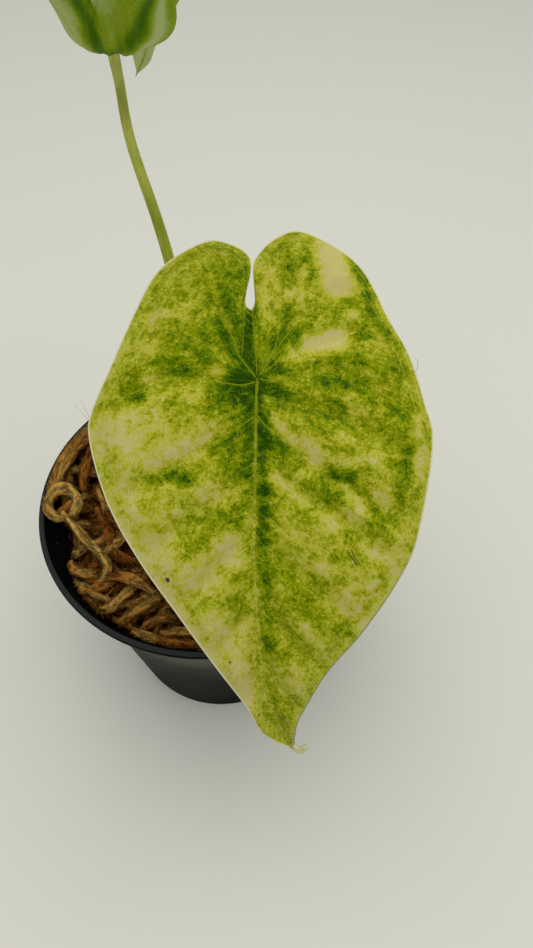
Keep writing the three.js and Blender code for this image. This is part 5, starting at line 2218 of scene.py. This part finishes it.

# The greener and the paler places of the front leaf, each picked on the photo
FRONT_PATCHES = patches(
    # The first rows, at the joint and beside the midrib, make a dark star and dark bands: partly the
    # leaf's own deep green, partly painted shade in the midrib's valley.
    (1.1, 1.1, (-0.9, 9.9), (-1.4, 6.2), (-1.4, 2.6), (-0.9, 0.3)),
    (1.2, 1.1, (-1.4, -1.4), (-2.6, -0.2), (-3.8, 0.3)), (0.8, 1.5, (0, 0.6), (0.2, -2.5)),
    (0.55, 1, (-2.7, 1.4), (-4.1, 4.7), (-5.8, 8.1)),
    (0.75, 1, (-1, -2.8), (-1.2, -8.6), (-1, -14.3)),
    (1, 1, (0.8, -2.3), (1.1, -8.6), (1, -15.7), (1, -22.9)),
    (0.45, 0.9, (1, -22.9), (1.4, -31.9), (2, -40)),
    (1.2, 0.8, (1, -0.8), (2.2, -1.5), (3.4, -1.8)),
    (0.55, 1, (2.4, 1.7), (5.3, 1.9), (8.8, 2.3), (12.3, 2.9), (14.7, 2)),
    (0.8, 1.1, (9.4, -13.6), (12.9, -13.7)), (0.85, 1.2, (-12.8, -13.2), (-10, -13.9)),
    (0.6, 1.3, (-19.1, -2), (-16.2, -2.2)), (0.85, 0.9, (12.9, 18.8), (15.1, 15.4), (16.6, 12.2)),
    (0.65, 0.8, (4.4, 10.5), (3.8, 6.6)), (0.4, 0.8, (8.5, -4.6), (12, -5.9)),
    (0.75, 1, (0.8, -7), (3.5, -9.3), (6.3, -11.4)), (0.35, 1, (20.7, -10.5), (20.9, -13.6)),
    (0.25, 1.3, (8.5, -16.6), (10.8, -17)), (0.6, 0.7, (18, -28.2), (18.4, -29.7)),
    (0.3, 1.6, (-4, -31.5), (-2, -33.8)), (0.3, 0.9, (-9, -31.6), (-7.2, -32.6)),
    (0.4, 2.9, (-5.2, 15.5), (-3.1, 13.8)), (0.4, 1, (-14.6, 17), (-17.7, 10.5)),
    (0.6, 1.6, (-12.8, 2.4), (-10.1, 0.8)), (0.55, 1, (-1.6, -6.7), (-4.7, -8.8), (-6.4, -10.2)),
    (0.9, 1.5, (-6, -2.9), (-2.2, -2.7)), (0.4, 1.4, (-3.5, -6), (-3.3, -13)),
    (0.55, 1.9, (-10, 5), (-8, 2.6)), (0.6, 1.2, (-4.9, 10.5), (-4, 6)),
    (0.25, 1.6, (-11.5, 6.5), (-10, 8)), (0.65, 1.3, (2.5, 5.4), (5.4, 6.2)),
    (0.4, 1.1, (4.7, 14), (5.4, 18.5)), (0.65, 1.4, (10, -0.6), (14.5, -0.8)),
    (0.4, 1.2, (12, 9.5), (15, 6.5)), (0.45, 0.9, (2.3, -3.9), (3.4, -5)),
    (0.4, 0.9, (2.2, -10), (3.4, -12.2)), (0.45, 0.9, (-14.6, -14.3), (-13.6, -14.2)),
    (0.55, 0.9, (-8.5, -20.2), (-5, -19), (-1.5, -17.9)), (0.35, 1, (12, -21.8), (13.4, -22.8)),
    (0.5, 1.1, (16.5, -17.8), (19.5, -20)), (0.5, 1.3, (12.3, -35.8), (14.1, -37.3)),
    (0.35, 0.9, (17, -31), (16.4, -33)), (0.35, 0.9, (-1.6, 18.5), (-1.4, 15)),
    (-1.7, 2.1, (10.7, 20.3), (11.4, 17), (11.4, 13.6)),
    (-1.6, 1.3, (7.6, 4.7), (9.4, 5.2), (11.5, 5.8)),
    (-0.55, 1.3, (-22, -17), (-16.6, -26), (-11.8, -33.4), (-6.8, -41.4), (-2, -49.4)),
    (-0.7, 1.6, (-7.4, -35.5), (-4.1, -41.8), (-0.8, -48.6)), (-0.8, 0.8, (12.7, 8.7), (13.7, 9)),
    (-0.6, 0.9, (6.6, 16.5), (6.2, 11.4)), (-0.4, 1, (1.2, 15.5), (0.8, 7.7)),
    (-0.75, 1.2, (2.9, -6), (5.2, -8.4), (7.8, -10)), (-0.7, 0.8, (11.6, -8.2), (12.4, -8.6)),
    (-0.75, 0.8, (8.5, -11), (12.3, -11.7), (16.7, -11.4)), (-0.4, 1.1, (13.3, -3.2), (16, -5.6)),
    (-0.65, 1, (22.6, -5.8), (23.4, -10.1), (23.4, -13)), (-0.2, 1.6, (-6.3, -7.3), (-4.6, -6.2)),
    (-0.75, 1.3, (-16.8, -11.4), (-14.2, -12.2)), (-0.4, 0.9, (-10.4, 9.9), (-10.4, 8.9)),
    (-0.4, 1, (-14.8, 9), (-13.8, 9)), (-0.45, 1.1, (-16.6, 4.9), (-15.3, 5.1)),
    (-0.45, 0.8, (-8.2, 1.3), (-5.8, 1.1)), (-0.5, 0.7, (-15.9, -0.3), (-15, -0.3)),
    (-0.35, 1, (-14.7, -2.2), (-10, -2.6)), (-0.95, 1.6, (-4.4, -23.3), (-3.5, -25.8)),
    (-0.8, 1.3, (-15.6, -22.5), (-13.6, -25.6), (-12.3, -30)),
    (-0.7, 0.7, (-11.2, -18.7), (-10.4, -18.8)), (-0.5, 1, (-14, -15), (-8.1, -16.1)),
    (-0.8, 0.7, (1.8, -14), (4.6, -15.2)), (-0.7, 0.8, (3.7, -21.2), (5.7, -21.9)),
    (-0.7, 1.1, (8.6, -18.4), (11.7, -21.3)), (-0.6, 0.8, (12.5, -15.7), (14.8, -18.4)),
    (-0.8, 0.7, (9, -26.6), (10.1, -26.9)), (-0.6, 0.9, (15.3, -23.6), (16.5, -25)),
    (-0.5, 1.6, (21.1, -22.4), (18.9, -29.3), (14.5, -38)),
    (-0.65, 1.2, (12.4, -30.3), (14.2, -33)), (-0.7, 0.9, (6.7, -35), (7.9, -37.2)),
    (-0.7, 1.1, (5.5, -45), (6.3, -46.8)), (-0.1, 1.8, (-10.5, 15.2), (-6.2, 18.4)),
    (-0.35, 1.3, (-20.6, 4.6), (-21.6, 1)), (-0.4, 0.9, (4.2, 2.6), (5.6, 3)),
    (-0.8, 1.6, (-18.4, -4.8), (-14.4, -4.9)), (-0.9, 2.3, (-21.5, -7.6), (-18, -8.8)),
    (-0.9, 1.9, (-12, -10), (-8.6, -8.9)), (-0.4, 1.9, (-14.6, -8), (-12.5, -7.2)),
    (-0.75, 1.5, (-19.2, -14.4), (-18, -16.6)), (-0.8, 1.3, (-7, -15.8), (-5.8, -16.2)),
    (-0.9, 1.5, (-17, -19.3), (-13.4, -18.7), (-12.4, -21.6)),
    (-0.75, 1.7, (-6.2, -24.4), (-9.3, -27.8), (-5.2, -29.8)), (-0.4, 1, (-3.9, -21), (-3, -22)),
    (-0.4, 1.8, (-8, -33), (-5.8, -33.6)), (-0.4, 0.9, (8.4, -12.2), (9, -12.6)),
    (-0.65, 1.2, (5.2, -16.6), (6.8, -17.2)), (-0.55, 1.2, (12.6, -18.4), (13.8, -19.4)),
    (-0.45, 1, (17.2, -16.8), (18.2, -18.2)), (-0.35, 1.1, (17.6, -12.9), (18.4, -14.4)),
    (-0.5, 1.4, (8, -23.2), (9.4, -24.2)), (-0.6, 1.1, (17.4, -23.6), (18, -25.4)),
    (-0.6, 1.3, (14.4, -29.2), (16, -30)), (-0.1, 2, (6.8, -28.2), (8.6, -32)),
    (-0.4, 1.4, (9.4, -37), (9.2, -39.4)), (-0.3, 1.5, (-2, -36.4), (-1.2, -38.6)),
    (-0.15, 1.6, (-9, 18.2), (-5, 18.6)), (0.35, 1.4, (7.4, 17), (8.6, 14)),
    (0.55, 1, (8.6, 21.6), (10.6, 20.4)), (0.45, 0.9, (12.2, 11.6), (13, 11.2)),
    (0.5, 0.9, (15.2, 12.4), (15.8, 9.8), (18.6, 6.4)),
    (0.5, 0.9, (-3.6, 11.8), (-3.2, 9), (-3.4, 5.6), (-2.8, 3.4)),
    (0.5, 1, (-7.4, 6.6), (-6.4, 3.2), (-7, 1.2)), (0.6, 1.2, (2.6, 4.6), (3, 2.8), (2.4, 0.6)),
    (0.5, 0.8, (4, 0.2), (7, -0.6), (9, -0.8)),
    (0.3, 1, (4.2, -2.9), (7.2, -3.4), (9.2, -4.6), (11.4, -6.6)),
    (0.4, 0.9, (-4.4, -1.4), (-1.4, -1.8)), (0.6, 1.4, (19.8, -4.4), (21.4, -6.2), (22.2, -8.2)),
    (0.4, 0.9, (21.6, -10.6), (22, -12.2)), (0.55, 1, (19.4, -14.2), (20.2, -16)),
    (0.4, 0.9, (17.4, 0.8), (17.8, -1.6)), (0.35, 0.9, (13.8, -3.4), (14.4, -4.4)),
    (0.3, 1.2, (-18.6, -4), (-14.6, -2.6)), (0.25, 1, (-16.2, -9.4), (-14.8, -9)),
    (0.1, 0.9, (-7.6, -12.4), (-7.2, -14.2)),
    (0.4, 1.1, (-15.2, -18.8), (-13.6, -19.8), (-11.2, -21)),
    (0.3, 0.9, (-5.6, -21.6), (-5.2, -23.6)), (0.4, 1, (-8.4, -23.6), (-7.2, -24.6)),
    (0.45, 1.1, (4.4, -27.4), (5, -29.6), (6.4, -32.4)), (0.25, 1.2, (8.8, -31.8), (9.6, -33.6)),
    (0.45, 0.9, (7.6, -17), (8.6, -18.4)), (0.35, 0.8, (12, -16.4), (12.4, -18)),
    (0.35, 0.8, (2.8, -15.4), (3.8, -16.2)), (0.3, 1, (15, -8), (15.6, -9.4)),
    (0.3, 1, (3.6, -39.4), (4.6, -41)), (0.3, 1, (-6, -40), (-4.6, -42.6)),
    (-0.4, 1.6, (-17, 6.6), (-15, 7.2), (-12.8, 8.4)), (-0.15, 0.9, (-13, 11.8), (-11.4, 11.6)),
    (-0.35, 0.9, (-10, 8.6), (-9.6, 6.6)), (-0.45, 1.3, (-22.4, -11), (-21, -12.2)),
    (-0.5, 1, (-14.6, -12), (-12.8, -12.6)), (-0.35, 0.9, (-17, -14.2), (-16, -14.6)),
    (-0.1, 1.1, (-14.6, -16.6), (-11.8, -16.4), (-9, -18.6)),
    (-0.4, 0.9, (-8.4, -18.4), (-8, -20.2)), (-0.55, 1.2, (-14, -23), (-12.6, -25)),
    (-0.5, 1.4, (-9.6, -27.6), (-9.4, -31)), (-0.35, 0.8, (-3.6, -15.4), (-2.8, -17)),
    (-1.3, 0.8, (1, -2.6), (1.2, -4)), (-0.35, 0.8, (2, -7.6), (2.2, -9)),
    (-0.6, 0.8, (1.6, -11.8), (2.8, -13.4)), (-0.6, 0.8, (1.2, -21.6), (1.8, -23)),
    (-0.35, 0.7, (4.8, 13.2), (4.8, 10.6)), (-0.4, 1, (0.6, 17.6), (2, 16.4)),
    (-0.2, 0.9, (17.2, 10.6), (18.4, 8.6)), (-0.15, 1.1, (14.6, 3.4), (17.4, 3.8)),
    (0.3, 0.9, (19.2, 3.8), (19.8, 1.6)), (-0.5, 0.9, (8, 1.6), (9.6, 2.4)),
    (-0.4, 0.8, (5, 1.6), (5.2, 2.2)), (-0.4, 0.8, (7.2, -8.2), (8.2, -8.6)),
    (-0.35, 0.9, (5.6, -11.4), (6.4, -12.4)), (-0.25, 1, (13.2, -13.4), (15.2, -14.2)),
    (-0.4, 0.9, (17, -16.8), (17.8, -17.6)), (-0.45, 1.1, (20, -19.6), (21.2, -20.8)),
    (-0.25, 0.9, (14.4, -21.6), (14.6, -24.4)), (-0.4, 1.2, (8, -26.4), (11, -27.4), (13.4, -27)),
    (-0.4, 1, (10.8, -30.4), (12.8, -33.4)), (-0.6, 1.1, (5.8, -42.6), (7.2, -44.6)),
    (-0.35, 1, (2.8, -41), (3.2, -45.6), (4.8, -49)),
    (-0.5, 1.3, (-5.4, -35.6), (-4, -37.6), (-3, -41.8), (-2.2, -45.4)),
    (-0.4, 0.9, (-1.6, -32.4), (-0.8, -33.4)), (-0.35, 0.8, (-7.6, -2), (-7, -3.2)),
    (-0.4, 1, (-8.2, -6.4), (-6.6, -8)), (-0.35, 0.9, (-18.6, -6.4), (-17.6, -7.2)),
    (-0.3, 0.9, (-0.4, -50.8), (0.6, -52.4)), (-0.3, 0.8, (-5, 0.4), (-4.2, 0.4)),
    (-0.25, 1.8, (-14.2, 4), (-10.4, 2.6)), (-0.2, 1.2, (-20.6, -1.4), (-18.8, -2)),
    (0.25, 0.8, (4.2, -5.8), (5.6, -8)), (0.25, 0.8, (7.6, -6.8), (9.8, -7.6)),
    (0.2, 0.9, (-15, -10.2), (-13, -10.6)), (0.25, 0.8, (10.8, 12), (11.8, 11.4)),
    (0.2, 0.9, (14.2, 10.6), (15.2, 9.4)),
)
# The underside of the back leaf: two dark bands from the joint, with pale places between
# The pale places out beyond the bands are partly the underside's paler green, partly a painted sheen
# where the cupped sides catch light at a grazing angle.
BACK_PATCHES = patches(
    (1.1, 1.4, (-2, 0.8), (1.6, 0.8)),
    (1.2, 1.6, (-1.2, 3.2), (-4.6, 6.6), (-7.1, 6.9), (-9.1, 7.9), (-11, 8.6)),
    (1.2, 1.5, (0.2, 2.5), (0.7, 6), (1.3, 9.2), (1.6, 11.7), (2, 15)),
    (-0.35, 1.5, (-1.4, 6), (-2.8, 9), (-4.2, 12.5)), (-0.8, 1.3, (-2, 13), (-2.8, 16)),
    (-1.2, 2.2, (4.5, 4), (6.5, 9), (8.5, 14)), (-0.6, 1.5, (3.5, 10.5), (4.4, 13.5)),
    (-1.2, 1.8, (-3.4, 3), (-6.4, 3.2), (-9.4, 3.8), (-13, 4.6)),
    (-0.9, 2.6, (-6, -3), (-12, -5.5), (-18, -8)), (-1, 2.6, (5, 3), (16, 5)),
    (0.7, 1.4, (0.8, -3), (1, -24)), (-1.4, 4, (-3, -42), (4, -57)),
)
# The back leaf's bands are brighter than the front's: partly its paler underside, partly a painted glow
# for light shining through the thin blade.
BACK_FINISH = LeafFinish(
    "blade_back_sheet",
    11.0,
    bands=(
        (0.00, 0.10, (0.50, 0.58, 0.22)),
        (0.20, 0.26, (0.38, 0.49, 0.12)),
        (0.42, 0.50, (0.27, 0.37, 0.012)),
        (0.60, 0.70, (0.19, 0.30, 0.001)),
        (0.84, 0.90, (0.09, 0.20, 0.001)),
        (1.00, 1.00, (0.045, 0.135, 0.001)),
    ),
    under=(0.33, 0.42, 0.05),
    under_share=0.05,
    broken=0.4,
)
FRONT_MARKS = (
    Vein(1.10, 0.70, ((-12.9, -28.3), (-12.7, -28.9))),
    Vein(0.30, 0.30, ((-4.3, -41.6), (-4.2, -41.7))),
    Vein(0.16, 0.26, ((12.7, -24.2), (13.3, -25.0), (14.1, -26.1))),
    Vein(0.12, 0.18, ((13.3, -24.0), (13.8, -25.0), (14.3, -25.9))),
    Vein(0.05, 0.05, ((5.0, -47.9), (6.0, -47.5), (6.9, -46.7))),
    Vein(0.05, 0.04, ((22.9, 1.0), (23.5, 1.9), (23.6, 2.9), (23.2, 3.4))),
)
FRONT_TABS = (
    Vein(0.9, 0.75, ((5.3, -59.0), (5.9, -60.0), (6.7, -60.3), (7.3, -59.8), (7.5, -58.9))),
    Vein(0.6, 0.55, ((5.6, -59.0), (6.2, -59.6), (6.9, -59.5), (7.2, -58.9))),
)

# The points that each stalk passes on its way up
FRONT_STALK = ((5.6, -0.6, 56), (6.2, -1.9, 74), (7.6, -4.8, 90), (9.6, -9.6, 106))
BACK_STALK = (
    (2.4, 2.6, 56), (1.7, 3.4, 82), (-0.9, 5.4, 108), (-3.9, 7.6, 128.9), (-6.9, 9.75, 143)
)


def main() -> None:
    """Builds the studio and every piece of the plant, in order."""
    logging.basicConfig(level=logging.INFO, format="%(name)s %(message)s")
    effects = Effects()
    Studio().build(effects)
    pot = Pot()
    pieces = [
        pot,
        Moss(pot),
        Crown(),
        Stalk("stalk_front", FRONT_FORM, FRONT_STALK, 1.5, 0.95),
        Stalk("stalk_back", BACK_FORM, BACK_STALK, 1.5, 0.65),
        Blade(
            "blade_front",
            FRONT_FORM,
            FRONT_PATCHES,
            LeafFinish("blade_front_sheet", 3.0),
            tabs=FRONT_TABS,
            marks=FRONT_MARKS,
        ),
        Blade("blade_back", BACK_FORM, BACK_PATCHES, BACK_FINISH, plan=BACK_PLAN),
    ]
    for piece in pieces:
        made = piece.build(effects)
        LOG.info("%s is in place", made.name)


if __name__ == "__main__":
    main()
